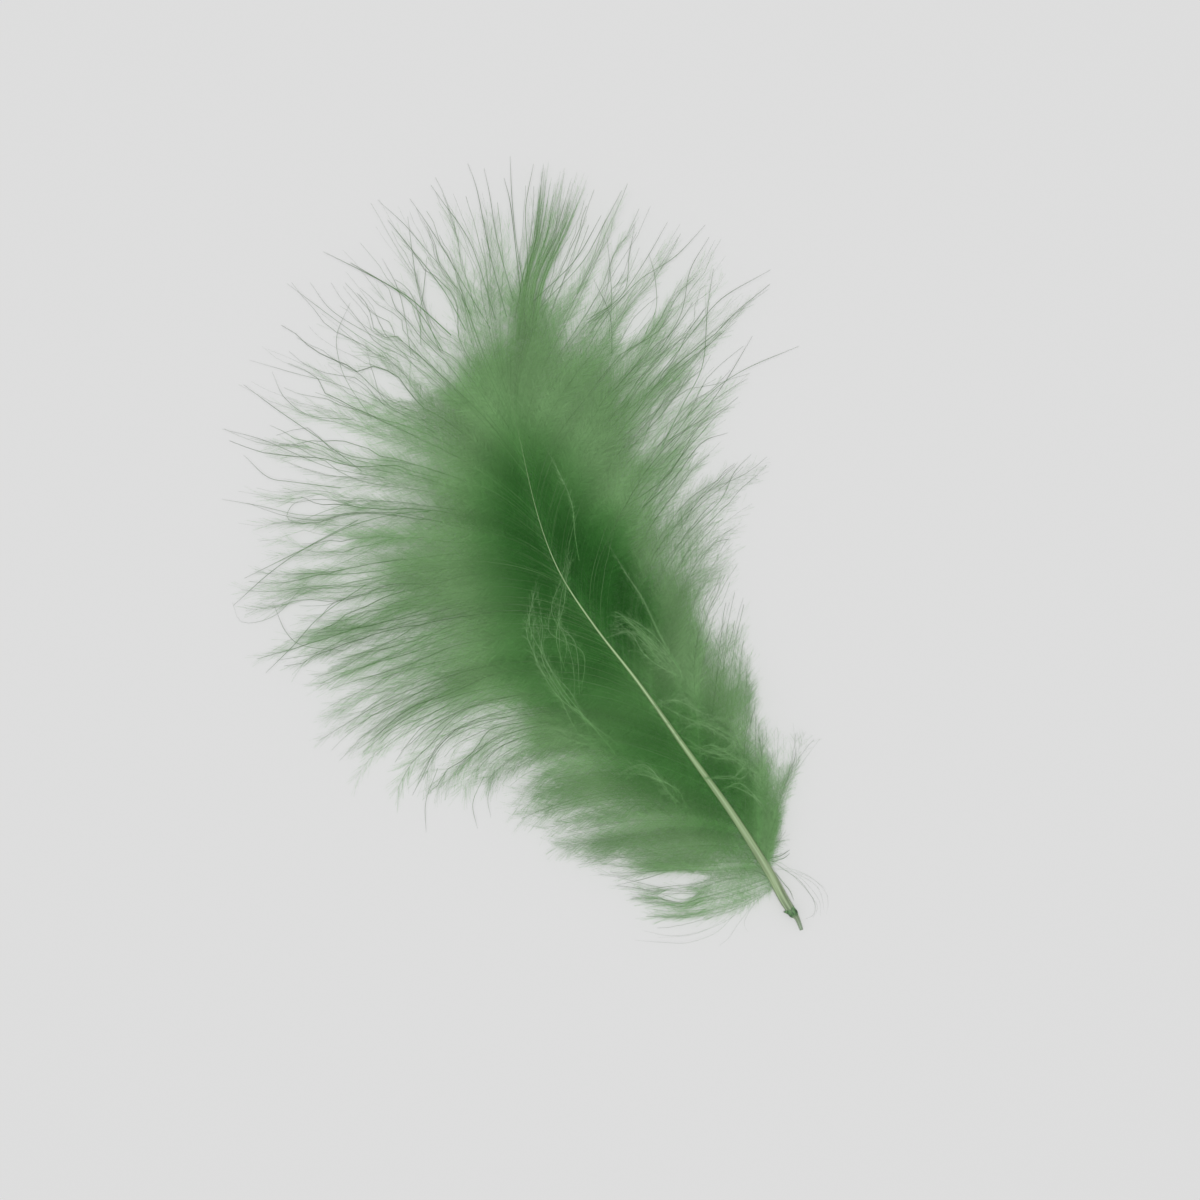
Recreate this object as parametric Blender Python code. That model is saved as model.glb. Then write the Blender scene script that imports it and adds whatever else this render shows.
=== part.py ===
"""A marabou feather: a dyed down feather lying on a flat surface, grown as one solid.

A bare quill runs on as a thin shaft. Loose down grows out of both sides of it, and is gathered into tapering
locks that fan out like a fountain. Near the shaft the locks lie over each other, and towards the outline
they part into separate points. Everything is joined into one body, because a feather grows in one piece.
"""
import math
import random

import bmesh
import bpy
import numpy
from mathutils import Vector
from mathutils.geometry import interpolate_bezier

# Driving dimensions are in millimetres. X runs across the feather and Y along it, both from the quill's
# broken tip, and Z runs up from the surface that the feather lies on. Angles are in degrees.
MM = 0.001
QUILL_TIP_AT = (19.477, -65.307)  # the quill's tip, from the middle of the feather's box

# The middle of the shaft and its width, from the quill's tip to where the down closes over it.
# Each row is across, along, height and width.
SHAFT = (
    (0.2, -0.4, 0.55, 0.7),
    (0.0, 1.6, 0.65, 0.9),
    (-0.6, 2.7, 0.75, 1.5),
    (-1.2, 5.0, 0.95, 1.4),
    (-2.2, 10.0, 1.5, 1.25),
    (-5.0, 20.5, 2.6, 1.05),
    (-8.3, 32.0, 3.6, 0.9),
    (-12.3, 45.0, 4.4, 0.8),
    (-16.0, 55.5, 4.8, 0.7),
    (-18.5, 65.0, 4.9, 0.65),
    (-19.0, 74.0, 4.7, 0.6),
    (-18.0, 86.0, 4.1, 0.55),
    (-16.6, 98.0, 3.4, 0.5),
)
QUILL_ROWS = 4  # the first rows, where the quill's end changes fast, all get a ring of their own
SHAFT_SIDES = 8
SHAFT_STEP = 4.0  # between the rings further on

# The locks of down. Each row is where the lock leaves the shaft, the angle at which it leaves, where its
# tip lies across and along, which way the tip points, and how high the tip lies.
LEFT_LOCKS = (
    (7.5, 95, -25.5, 12.8, 141, 1.0),
    (9.5, 75, -22.0, 13.6, 165, 2.2),
    (12.0, 55, -27.5, 19.5, 140, 0.8),
    (15.0, 40, -29.5, 21.5, 146, 3.0),
    (18.0, 34, -31.5, 23.5, 150, 0.9),
    (21.5, 30, -34.5, 26.5, 158, 2.0),
    (25.0, 27, -36.0, 31.0, 170, 1.0),
    (28.0, 25, -37.5, 33.5, 180, 4.2),
    (31.0, 24, -39.5, 38.0, 192, 2.6),
    (33.5, 23, -45.0, 36.5, 220, 0.9),
    (37.0, 22, -52.0, 38.5, 218, 1.4),
    (40.0, 22, -59.0, 43.0, 205, 0.8),
    (43.5, 22, -61.0, 47.5, 196, 3.4),
    (46.5, 22, -62.0, 52.0, 186, 1.2),
    (49.5, 22, -61.0, 57.5, 182, 5.0),
    (52.0, 22, -63.0, 61.5, 180, 1.0),
    (55.0, 22, -66.0, 66.0, 178, 2.4),
    (58.0, 22, -67.0, 70.0, 174, 0.9),
    (60.5, 22, -67.0, 74.5, 170, 4.4),
    (63.0, 22, -67.0, 79.5, 166, 1.5),
    (65.5, 22, -63.0, 86.0, 162, 6.2),
    (68.0, 22, -64.0, 92.0, 158, 1.0),
    (70.5, 22, -60.0, 97.5, 150, 3.6),
    (73.0, 22, -61.0, 103.5, 144, 1.2),
    (75.5, 22, -55.0, 111.5, 140, 5.4),
    (78.0, 22, -50.0, 116.0, 132, 1.6),
    (80.0, 22, -43.5, 121.5, 122, 3.8),
    (82.0, 22, -38.0, 125.0, 116, 1.0),
    (84.0, 22, -32.0, 122.5, 112, 6.8),
    (86.0, 22, -27.0, 130.0, 106, 2.0),
    (88.0, 20, -21.5, 129.0, 98, 4.6),
    (90.0, 18, -18.5, 130.5, 93, 1.2),
    (92.0, 15, -14.5, 124.5, 86, 7.2),
    (93.5, 12, -11.0, 131.0, 84, 2.6),
    (95.0, 8, -7.0, 129.5, 78, 5.0),
)
RIGHT_LOCKS = (
    (10.5, 60, 2.0, 12.4, 10, 1.2),
    (11.0, 24, 3.6, 27.0, 84, 0.8),
    (11.8, 46, 11.5, 27.5, 30, 1.0),
    (12.6, 40, 9.0, 30.5, 78, 3.0),
    (13.5, 22, 3.9, 32.0, 84, 2.4),
    (15.5, 22, 4.4, 36.0, 80, 0.9),
    (18.5, 22, 5.4, 39.5, 64, 3.2),
    (21.5, 22, 5.5, 44.0, 78, 1.0),
    (25.0, 22, 6.0, 48.0, 74, 2.6),
    (29.0, 22, 6.8, 52.5, 68, 1.2),
    (33.5, 22, 7.0, 57.5, 52, 3.6),
    (38.0, 22, 10.0, 60.5, 36, 0.9),
    (42.5, 22, 14.5, 64.0, 16, 2.2),
    (47.0, 22, 17.5, 68.5, 18, 1.0),
    (51.0, 22, 16.5, 74.0, 22, 4.4),
    (54.5, 22, 14.0, 78.5, 28, 1.6),
    (58.0, 22, 20.0, 84.5, 24, 2.8),
    (61.5, 22, 28.0, 87.5, 22, 1.0),
    (65.0, 22, 22.5, 91.0, 30, 5.2),
    (68.5, 22, 18.0, 95.0, 34, 1.4),
    (72.0, 22, 26.5, 99.5, 26, 3.4),
    (75.0, 22, 20.0, 101.5, 36, 1.0),
    (78.0, 21, 21.5, 105.0, 40, 6.0),
    (81.0, 20, 19.5, 108.5, 42, 1.8),
    (84.0, 19, 16.0, 112.0, 46, 4.0),
    (86.5, 18, 11.0, 113.0, 52, 1.2),
    (89.0, 16, 9.8, 119.0, 52, 6.6),
    (91.5, 14, 6.0, 121.0, 58, 2.2),
    (93.5, 12, 3.0, 124.0, 62, 4.8),
    (95.0, 8, -0.5, 127.5, 68, 1.4),
    (96.5, 5, -3.5, 128.5, 72, 6.4),
)
HANDLE_OUT = 0.36  # how far a lock keeps the direction it leaves in, as a share of its reach
HANDLE_IN = 0.42  # how long it points the way its tip does, as a share of its reach
DIP = 3.0  # how far below the surface a lock heads before its tip turns up again
ROOT_BELOW = 0.4  # how far under the shaft's middle a lock starts, so that the shaft stands proud of the down
LOWEST_LINE = 0.45  # a lock's middle line, where the lock lies on the surface

# A lock's half width, and its taper: how wide it is at even steps from the shaft to its tip.
LOCK_HALF_WIDTH = 3.0
LOCK_FULL_REACH = 50.0  # a lock of this reach is that wide, and a shorter one is narrower
WIDTH_BY_REACH = 0.35  # how much narrower: 0 is not at all, and 1 is in step with its reach
LOCK_FLATNESS = 0.3  # its thickness, as a share of its width
LOCK_TAPER = (0.5, 0.92, 1.0, 0.94, 0.74, 0.42, 0.12)
# Its cross-section, which is flat below and ridged above.
LOCK_SECTION = ((-0.55, -1.0), (0.55, -1.0), (1.0, 0.0), (0.0, 1.0), (-1.0, 0.0))
LOCK_RING_STEP = 7.5  # between a lock's rings
LOCK_FEWEST_RINGS = 5
WIDTH_VARIES = 0.12
SEED = 7
WELD_WITHIN = 0.01

TABLE_CUT = (300.0, 320.0, 10.0)  # the block that cuts the underside off flat

DYED_DOWN = (0.105, 0.262, 0.094)
DOWN_ROUGHNESS = 0.85
SHARP_FROM = 40


def clear_scene():
    for thing in list(bpy.data.objects):
        bpy.data.objects.remove(thing, do_unlink=True)


def collection(name):
    made = bpy.data.collections.new(name)
    bpy.context.scene.collection.children.link(made)
    return made


def down_material():
    """Soft dyed down: matt, with no metal in it."""
    material = bpy.data.materials.new("dyed_down")
    material.use_nodes = True
    shader = material.node_tree.nodes["Principled BSDF"]
    shader.inputs["Base Color"].default_value = (*DYED_DOWN, 1.0)
    shader.inputs["Roughness"].default_value = DOWN_ROUGHNESS
    shader.inputs["Metallic"].default_value = 0.0
    material.diffuse_color = (*DYED_DOWN, 1.0)
    return material


def shaft_at(along):
    """The shaft's row at a distance along the feather, on a smooth curve through the rows of SHAFT."""
    upper = next((i for i, row in enumerate(SHAFT) if row[1] > along), len(SHAFT) - 1)
    upper = max(upper, 1)
    before, low, high, after = (
        Vector(SHAFT[min(max(i, 0), len(SHAFT) - 1)]) for i in (upper - 2, upper - 1, upper, upper + 1)
    )
    span = high[1] - low[1]
    t = min(max((along - low[1]) / span, 0.0), 1.0)
    slope_low = (high - before) * (span / (high[1] - before[1]))
    slope_high = (after - low) * (span / (after[1] - low[1]))
    return (
        low * (2 * t**3 - 3 * t**2 + 1)
        + slope_low * (t**3 - 2 * t**2 + t)
        + high * (3 * t**2 - 2 * t**3)
        + slope_high * (t**3 - t**2)
    )


def towards(degrees):
    """A level direction of length 1, counted from X anticlockwise."""
    return Vector((math.cos(math.radians(degrees)), math.sin(math.radians(degrees)), 0.0))


def lock_line(lock, side):
    """The middle line of a lock, and its reach. side is 1 on the left, -1 on the right."""
    root_along, leaves_at, tip_across, tip_along, points_to, tip_height = lock
    root = shaft_at(root_along).to_3d() - Vector((0.0, 0.0, ROOT_BELOW))
    tip = Vector((tip_across, tip_along, tip_height))
    ahead = shaft_at(root_along + 0.5).to_3d() - shaft_at(root_along - 0.5).to_3d()
    shaft_heading = math.degrees(math.atan2(ahead.y, ahead.x))
    reach = (tip - root).length
    handle_out = root + towards(shaft_heading + side * leaves_at) * HANDLE_OUT * reach
    handle_in = tip - towards(points_to) * HANDLE_IN * reach
    handle_in.z = -DIP
    rings = max(round(reach / LOCK_RING_STEP), LOCK_FEWEST_RINGS)
    line = interpolate_bezier(root, handle_out, handle_in, tip, rings)
    for place in line:
        place.z = max(place.z, LOWEST_LINE)
    return line, reach


def tube(name, line, radii, home, profile=None, sides=SHAFT_SIDES):
    """A closed mesh along a line, round or of the given profile, with a radius at each place."""
    curve = bpy.data.curves.new(name, "CURVE")
    curve.dimensions = "3D"
    curve.twist_mode = "Z_UP"
    curve.use_fill_caps = True
    if profile:
        curve.bevel_mode = "OBJECT"
        curve.bevel_object = profile
    else:
        curve.bevel_depth = MM
        curve.bevel_resolution = (sides - 4) // 2
    spline = curve.splines.new("POLY")
    spline.points.add(len(line) - 1)
    for point, place, radius in zip(spline.points, line, radii):
        point.co = (*(place * MM), 1.0)
        point.radius = radius
    route = bpy.data.objects.new(name + "_route", curve)
    home.objects.link(route)
    seen = route.evaluated_get(bpy.context.evaluated_depsgraph_get())
    mesh = bpy.data.meshes.new_from_object(seen)
    mesh.name = name
    body = bmesh.new()
    body.from_mesh(mesh)
    bmesh.ops.remove_doubles(body, verts=body.verts, dist=WELD_WITHIN * MM)
    bmesh.ops.recalc_face_normals(body, faces=body.faces)
    bmesh.ops.triangulate(body, faces=body.faces)  # so that every face is flat where locks cross
    body.to_mesh(mesh)
    body.free()
    made = bpy.data.objects.new(name, mesh)
    made.matrix_world = route.matrix_world
    home.objects.link(made)
    bpy.data.objects.remove(route)
    return made


def build_quill_tip(home):
    """An empty at the quill's tip, which everything else is placed from."""
    empty = bpy.data.objects.new("quill_tip", None)
    empty.location = Vector((*QUILL_TIP_AT, 0.0)) * MM
    home.objects.link(empty)
    return empty


def lock_profile(home):
    """The cross-section of a lock at radius 1."""
    curve = bpy.data.curves.new("lock_profile", "CURVE")
    spline = curve.splines.new("POLY")
    spline.points.add(len(LOCK_SECTION) - 1)
    for point, (across, up) in zip(spline.points, LOCK_SECTION):
        point.co = (across * MM, up * LOCK_FLATNESS * MM, 0.0, 1.0)
    spline.use_cyclic_u = True
    outline = bpy.data.objects.new("lock_profile", curve)
    home.objects.link(outline)
    return outline


def as_tool(thing):
    """Marks an object as one that only shapes another."""
    thing.hide_render = True
    thing.display_type = "WIRE"


def build_shaft(home):
    """The bare quill and the shaft that it runs on into, as one round tube."""
    first, last = SHAFT[0][1], SHAFT[-1][1]
    steps = round((last - first) / SHAFT_STEP)
    even = {first + (last - first) * i / steps for i in range(steps + 1)}
    quill = {row[1] for row in SHAFT[:QUILL_ROWS]}
    rows = [shaft_at(along) for along in sorted(even | quill)]
    return tube("feather", [row.to_3d() for row in rows], [row[3] / 2 for row in rows], home)


def build_locks(home):
    """Every lock as a body of its own, which the shaft then takes in."""
    chance = random.Random(SEED)
    profile = lock_profile(home)
    for side, word, locks in ((1, "left", LEFT_LOCKS), (-1, "right", RIGHT_LOCKS)):
        for i, lock in enumerate(locks):
            line, reach = lock_line(lock, side)
            half_width = LOCK_HALF_WIDTH * (reach / LOCK_FULL_REACH) ** WIDTH_BY_REACH
            half_width *= 1 + chance.uniform(-WIDTH_VARIES, WIDTH_VARIES)
            shares = [k / (len(line) - 1) * (len(LOCK_TAPER) - 1) for k in range(len(line))]
            radii = half_width * numpy.interp(shares, range(len(LOCK_TAPER)), LOCK_TAPER)
            as_tool(tube(f"{word}_lock_{i + 1:02d}", line, radii, home, profile=profile))
    bpy.data.objects.remove(profile)


def build_table_cut(home):
    """A block whose top is the surface that the feather lies on."""
    bpy.ops.mesh.primitive_cube_add(size=1, location=(0, 0, -TABLE_CUT[2] / 2 * MM))
    block = bpy.context.object
    block.name = "table_cut"
    block.scale = Vector(TABLE_CUT) * MM
    for owner in list(block.users_collection):
        owner.objects.unlink(block)
    home.objects.link(block)
    as_tool(block)
    return block


def main():
    clear_scene()
    parts = collection("marabou_feather")
    locks = collection("locks")
    cutters = collection("cutters")

    quill_tip = build_quill_tip(parts)
    feather = build_shaft(parts)
    build_locks(locks)
    block = build_table_cut(cutters)
    for thing in (feather, *locks.objects, block):
        thing.parent = quill_tip

    grow = feather.modifiers.new("grow_locks", "BOOLEAN")
    grow.operation = "UNION"
    grow.operand_type = "COLLECTION"
    grow.collection = locks

    lie = feather.modifiers.new("lie_flat", "BOOLEAN")
    lie.operation = "DIFFERENCE"
    lie.object = block

    feather.data.materials.append(down_material())
    feather.data.shade_smooth()
    feather.data.set_sharp_from_angle(angle=math.radians(SHARP_FROM))


main()
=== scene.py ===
# %% [markdown]
# # A marabou feather, barb by barb
# The real thing is one long down feather, dyed green, lying on a pale table. It grew as one piece of
# keratin: a bare quill, the thin shaft that the quill runs on into, a few hundred hair-thin barbs on both
# sides of the shaft, and on every barb hundreds of barbules, so fine that the eye sees them only as a haze.
# The solid feather is loaded first as a fixed frame. It has the feather's true size and the shape of its
# locks, and everything below is grown in its place.

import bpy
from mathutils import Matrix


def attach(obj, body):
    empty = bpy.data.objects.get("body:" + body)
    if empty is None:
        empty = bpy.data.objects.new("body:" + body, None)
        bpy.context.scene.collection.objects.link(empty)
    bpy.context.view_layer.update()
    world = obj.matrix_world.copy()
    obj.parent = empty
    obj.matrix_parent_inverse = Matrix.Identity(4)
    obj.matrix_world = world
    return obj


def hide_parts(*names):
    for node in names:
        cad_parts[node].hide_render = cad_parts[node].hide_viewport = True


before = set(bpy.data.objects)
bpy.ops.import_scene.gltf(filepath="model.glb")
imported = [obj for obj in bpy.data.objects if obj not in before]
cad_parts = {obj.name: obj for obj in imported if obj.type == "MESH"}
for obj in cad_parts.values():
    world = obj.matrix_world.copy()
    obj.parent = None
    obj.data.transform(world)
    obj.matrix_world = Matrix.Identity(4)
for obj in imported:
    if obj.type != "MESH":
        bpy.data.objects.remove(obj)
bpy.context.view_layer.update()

# %% [markdown]
# ## The tools
# The few big shapes here, the quill and its sheath, are modelled with bmesh operators. The many small ones
# are worked out as arrays, thousands at a time, for which numpy is the right tool.

# %% Modules
import math

import bmesh
import bpy
import numpy as np
from mathutils import Matrix, Vector

# %% [markdown]
# ## Where things are
# The feather is measured in millimetres in a frame of its own: X runs across it, Y along it from the broken
# tip of the quill, and Z up from the table. Its rows are easiest to read that way. Meshes are made in metres
# with the origin in the middle of the feather, as the solid has it, and `place` turns one into the other.

# %% The feather's own frame
MM = 0.001
QUILL_TIP_AT = np.array((19.477, -65.307, 0.0))


def place(points):
    """Points in millimetres from the quill's tip, turned into metres from the feather's middle."""
    return (np.asarray(points, float) + QUILL_TIP_AT) * MM


def ease(x, low, high):
    """0 below low, 1 above high, and a smooth step between them."""
    t = np.clip((x - low) / (high - low), 0.0, 1.0)
    return t * t * (3 - 2 * t)


print("quill tip:", [round(float(side) * 1000, 1) for side in place((0, 0, 0))], "mm from the middle")


# %% [markdown]
# ## The line of the shaft
# The shaft bends twice, gently: first left and then back to the right. It could be a curve object, but the
# barbs have to ask it for its place anywhere, so thirteen rows hold it instead. Each row is how far across
# and along the middle of the shaft lies, how high, and how thick the real shaft is there. Between the rows
# the line follows a smooth curve. Its start is the quill, 1.4 mm thick. Its end is a hair.

# %% Shaft rows: across, along, height, thickness
SHAFT = np.array((
    (-0.1, -0.4, 0.55, 0.55),
    (-0.2, 1.6, 0.65, 0.8),
    (-0.6, 2.7, 0.75, 1.3),
    (-1.2, 5, 0.95, 1.55),
    (-2.1, 10, 1.5, 1.45),
    (-4.7, 20.5, 2.6, 1.15),
    (-8.3, 32, 3.6, 0.85),
    (-12.3, 45, 4.4, 0.52),
    (-16, 55.5, 4.8, 0.33),
    (-18.5, 65, 4.9, 0.2),
    (-19, 74, 4.7, 0.12),
    (-18, 86, 4.1, 0.07),
    (-16.6, 98, 3.4, 0.04),
))


def shaft_at(along):
    """Across, along, height and thickness of the shaft at distances along the feather."""
    along = np.atleast_1d(along).astype(float)
    upper = np.clip(np.searchsorted(SHAFT[:, 1], along, side="right"), 1, len(SHAFT) - 1)
    before, low = SHAFT[np.maximum(upper - 2, 0)], SHAFT[upper - 1]
    high, after = SHAFT[upper], SHAFT[np.minimum(upper + 1, len(SHAFT) - 1)]
    span = (high - low)[:, 1:2]
    t = np.clip((along[:, None] - low[:, 1:2]) / span, 0.0, 1.0)
    slope_low = (high - before) * span / (high - before)[:, 1:2]
    slope_high = (after - low) * span / (after - low)[:, 1:2]
    return (
        low * (2 * t**3 - 3 * t**2 + 1)
        + slope_low * (t**3 - 2 * t**2 + t)
        + high * (3 * t**2 - 2 * t**3)
        + slope_high * (t**3 - t**2)
    )


print("shaft thickness half way:", round(float(shaft_at(49.0)[0, 3]), 2), "mm")

# %% [markdown]
# ## The locks that guide the barbs
# Barbs don't lie evenly. They cling together in locks that part from each other towards the outline. The
# solid feather has one solid for each lock. The rows here are guides for the same locks, with nearly the
# same tips, but they are turned to the directions in which the single hairs run. Each row is where the lock
# leaves the shaft, the angle at which it leaves, where its tip lies across and along, which way the tip
# points, and how high the tip lies. Angles are in degrees.

# %% Lock rows
LEFT_LOCKS = (
    (7.5, 97, -23.6, 9, 158, 1),
    (9.2, 78, -24.5, 13.4, 156, 2.2),
    (11, 58, -27.5, 19.5, 149, 0.8),
    (12.9, 44, -29.5, 21.5, 157, 3),
    (14.8, 39, -31.5, 23.5, 164, 0.9),
    (17.2, 36, -34.5, 26.5, 175, 2),
    (20.2, 33, -36, 31, 187, 1),
    (23.2, 30, -37.5, 33.5, 197, 4.2),
    (26.4, 28, -39.5, 38, 209, 2.6),
    (29.8, 26, -45, 36.5, 236, 0.9),
    (33.7, 24, -52, 38.5, 233, 1.4),
    (37.4, 23, -59, 43, 218, 0.8),
    (41.3, 23, -61, 47.5, 206, 3.4),
    (45, 23, -62, 52, 194, 1.2),
    (48.6, 22, -61, 57.5, 186, 5),
    (51.8, 22, -63, 61.5, 181, 1),
    (55, 22, -66, 66, 176, 2.4),
    (58, 23, -67, 70, 170, 0.9),
    (60.5, 24, -67, 74.5, 165, 4.4),
    (62.8, 24, -67, 79.5, 160, 1.5),
    (64.9, 25, -63, 86, 157, 6.2),
    (66.8, 26, -64, 92, 153, 1),
    (68.8, 26, -60, 97.5, 145, 3.6),
    (71, 26, -61, 103.5, 139, 1.2),
    (73.4, 26, -55, 111.5, 136, 5.4),
    (76.1, 26, -50, 116, 128, 1.6),
    (78.5, 26, -43.5, 121.5, 119, 3.8),
    (80.9, 24, -38, 125, 113, 1),
    (83.3, 23, -32, 122.5, 110, 6.8),
    (85.8, 21, -27, 130, 105, 2),
    (88.2, 18, -21.5, 129, 99, 4.6),
    (90.5, 15, -18.5, 130.5, 97, 1.2),
    (92.5, 11, -14.5, 124.5, 91, 7.2),
    (94, 8, -11, 131, 89, 2.6),
    (95.2, 4, -7, 129.5, 84, 5),
)
RIGHT_LOCKS = (
    (10.5, 60, 2, 12.4, 6, 1.2),
    (10.9, 25, 3.6, 27, 80, 0.8),
    (11.4, 47, 11.5, 27.5, 26, 1),
    (11.9, 42, 9, 30.5, 72, 3),
    (12.5, 25, 3.9, 32, 78, 2.4),
    (13.6, 27, 4.4, 36, 74, 0.9),
    (15.4, 29, 5.4, 39.5, 58, 3.2),
    (17.6, 30, 5.5, 44, 70, 1),
    (20.4, 30, 6, 48, 66, 2.6),
    (23.9, 30, 6.8, 52.5, 59, 1.2),
    (28.2, 30, 7, 57.5, 42, 3.6),
    (32.7, 29, 10, 60.5, 25, 0.9),
    (37.1, 29, 14.5, 64, 6, 2.2),
    (41.5, 29, 17.5, 68.5, 10, 1),
    (45.5, 28, 16.5, 74, 15, 4.4),
    (49, 27, 14, 78.5, 22, 1.6),
    (52.5, 27, 20, 84.5, 22, 2.8),
    (55.6, 27, 28, 87.5, 20, 1),
    (58.6, 28, 22.5, 91, 29, 5.2),
    (61.6, 28, 18, 95, 36, 1.4),
    (65.4, 27, 26.5, 99.5, 27, 3.4),
    (69.1, 26, 20, 101.5, 38, 1),
    (72.9, 24, 21.5, 105, 40, 6),
    (76.3, 22, 19.5, 108.5, 43, 1.8),
    (79.7, 21, 16, 112, 47, 4),
    (82.7, 19, 11, 113, 53, 1.2),
    (85.6, 17, 9.8, 119, 52, 6.6),
    (88.5, 14, 6, 121, 59, 2.2),
    (91, 12, 3, 124, 63, 4.8),
    (93.1, 7, -0.5, 127.5, 69, 1.4),
    (95.2, 4, -3.5, 128.5, 73, 6.4),
)
HANDLE_OUT = 0.34  # how far a lock keeps the direction it leaves in, as a share of its reach
HANDLE_IN = 0.43  # how long it points the way its tip does, as a share of its reach
DIP = 3.0  # how far below the table a lock heads before its tip turns up again
LEFT, RIGHT = 1, -1  # which way the barbs of a side turn away from the shaft


def lock_field(locks, side):
    """Where each lock leaves the shaft, and its curve's handles as seen from there: out, in and tip."""
    rows = np.array(locks, float)
    root = shaft_at(rows[:, 0])[:, :3]
    tip = rows[:, [2, 3, 5]]
    ahead = shaft_at(rows[:, 0] + 0.5) - shaft_at(rows[:, 0] - 0.5)
    leaves = np.arctan2(ahead[:, 1], ahead[:, 0]) + side * np.radians(rows[:, 1])
    arrives = np.radians(rows[:, 4])
    level = np.zeros(len(rows))
    reach = np.linalg.norm(tip - root, axis=1, keepdims=True)
    handle_out = np.stack((np.cos(leaves), np.sin(leaves), level), 1) * HANDLE_OUT * reach
    handle_in = tip - np.stack((np.cos(arrives), np.sin(arrives), level), 1) * HANDLE_IN * reach
    handle_in[:, 2] = -DIP
    return rows[:, 0], np.stack((handle_out, handle_in - root, tip - root), 1)


def vane_at(field, start, far):
    """Points of a vane: start is where on the shaft a barb leaves, far the share of its length out."""
    roots_at, handles = field
    after = np.clip(np.searchsorted(roots_at, start), 1, len(roots_at) - 1)
    mixed = (start - roots_at[after - 1]) / (roots_at[after] - roots_at[after - 1])
    mixed = mixed[..., None, None]
    own = handles[after - 1] * (1 - mixed) + handles[after] * mixed
    t = far[..., None]
    bend = 3 * (1 - t) ** 2 * t * own[..., 0, :]
    bend = bend + 3 * (1 - t) * t**2 * own[..., 1, :]
    bend = bend + t**3 * own[..., 2, :]
    return shaft_at(start.ravel())[:, :3].reshape(bend.shape) + bend


LEFT_FIELD = lock_field(LEFT_LOCKS, LEFT)
RIGHT_FIELD = lock_field(RIGHT_LOCKS, RIGHT)
print(len(LEFT_LOCKS), "locks on the left,", len(RIGHT_LOCKS), "on the right")

# %% [markdown]
# ## Where the locks part
# Between some locks the table shows as a clear pale slit. Each row is the middle of such a parting across
# and along the feather, its length and width, and how much of the haze is missing in it. A parting follows
# the barbs beside it, so its place is turned into where those barbs start and how far out on them it lies.

# %% Partings
LEFT_PARTINGS = (
    (-23.2, 111, 13, 3.6, 0.97),
    (-16.9, 115.7, 7, 1.8, 0.9),
    (-20.3, 116.4, 8, 1.4, 0.9),
    (-28.3, 112.2, 7, 2.2, 0.92),
    (-32.3, 111.5, 6, 3, 0.92),
    (-34.3, 101.7, 10, 2.8, 0.97),
    (-40.2, 103.1, 8, 1.2, 0.9),
    (-47.4, 106.6, 6, 1.8, 0.9),
    (-44.9, 96.8, 11, 2.2, 0.96),
    (-49.7, 98, 5, 1.7, 0.9),
    (-48.5, 92.6, 14, 1.9, 0.97),
    (-51.5, 87.8, 7, 2.6, 0.97),
    (-37.5, 89, 7, 0.8, 0.6),
    (-54, 83.2, 6, 2.2, 0.95),
    (-50.5, 80.7, 7, 1.2, 0.95),
    (-57.8, 72.6, 11, 2.6, 0.97),
    (-52, 70.6, 5, 1, 0.9),
    (-63, 65.5, 5, 1.8, 0.9),
    (-54.3, 55, 6, 1.3, 0.85),
    (-50, 48, 7, 0.9, 0.7),
    (-41.5, 43.8, 7, 1.7, 0.9),
    (-16.7, 11.2, 6.5, 2.2, 0.97),
    (-17, 13.8, 14, 2.4, 0.95),
)
RIGHT_PARTINGS = (
    (5.9, 99.3, 11, 2.6, 0.97),
    (0, 88.5, 7, 0.9, 0.7),
    (8.5, 91.5, 6, 1, 0.8),
    (3, 113.6, 8, 1.3, 0.9),
    (-3, 115.5, 8, 1, 0.8),
    (5.8, 108.3, 9, 1.8, 0.95),
    (13.4, 97.4, 9, 1.6, 0.9),
    (8, 73.2, 6, 1.6, 0.9),
    (12.5, 85.6, 5, 1.4, 0.8),
    (4.5, 54.5, 5, 1, 0.8),
    (4.5, 60.5, 8, 1.6, 0.6),
)
PARTED_OVER = 3.0  # how far a parting still moves barbs, in half widths
STARTS_TRIED, SHARES_TRIED = 240, 96  # how finely a parting's place is looked for


def parting_places(field, partings):
    """Start and share of each parting's middle, its half length and half width there, and how bare it is."""
    starts = np.linspace(field[0][0], field[0][-1], STARTS_TRIED)
    shares = np.linspace(0.1, 1.05, SHARES_TRIED)
    start, far = np.meshgrid(starts, shares, indexing="ij")
    points = vane_at(field, start, far)[..., :2]
    found = []
    for across, along, length, width, bare in partings:
        away = np.hypot(points[..., 0] - across, points[..., 1] - along)
        i, j = np.unravel_index(np.argmin(away), away.shape)
        i, j = np.clip(i, 1, len(starts) - 2), np.clip(j, 1, len(shares) - 2)
        outward = (points[i, j + 1] - points[i, j - 1]) / (shares[j + 1] - shares[j - 1])
        onward = (points[i + 1, j] - points[i - 1, j]) / (starts[i + 1] - starts[i - 1])
        reach = np.hypot(*outward)
        apart = abs(outward[0] * onward[1] - outward[1] * onward[0]) / reach
        found.append((starts[i], shares[j], length / 2 / reach, width / 2 / apart, bare, width / 2))
    return found


LEFT_PLACES = parting_places(LEFT_FIELD, LEFT_PARTINGS)
RIGHT_PLACES = parting_places(RIGHT_FIELD, RIGHT_PARTINGS)
print(len(LEFT_PLACES) + len(RIGHT_PLACES), "partings")


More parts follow.
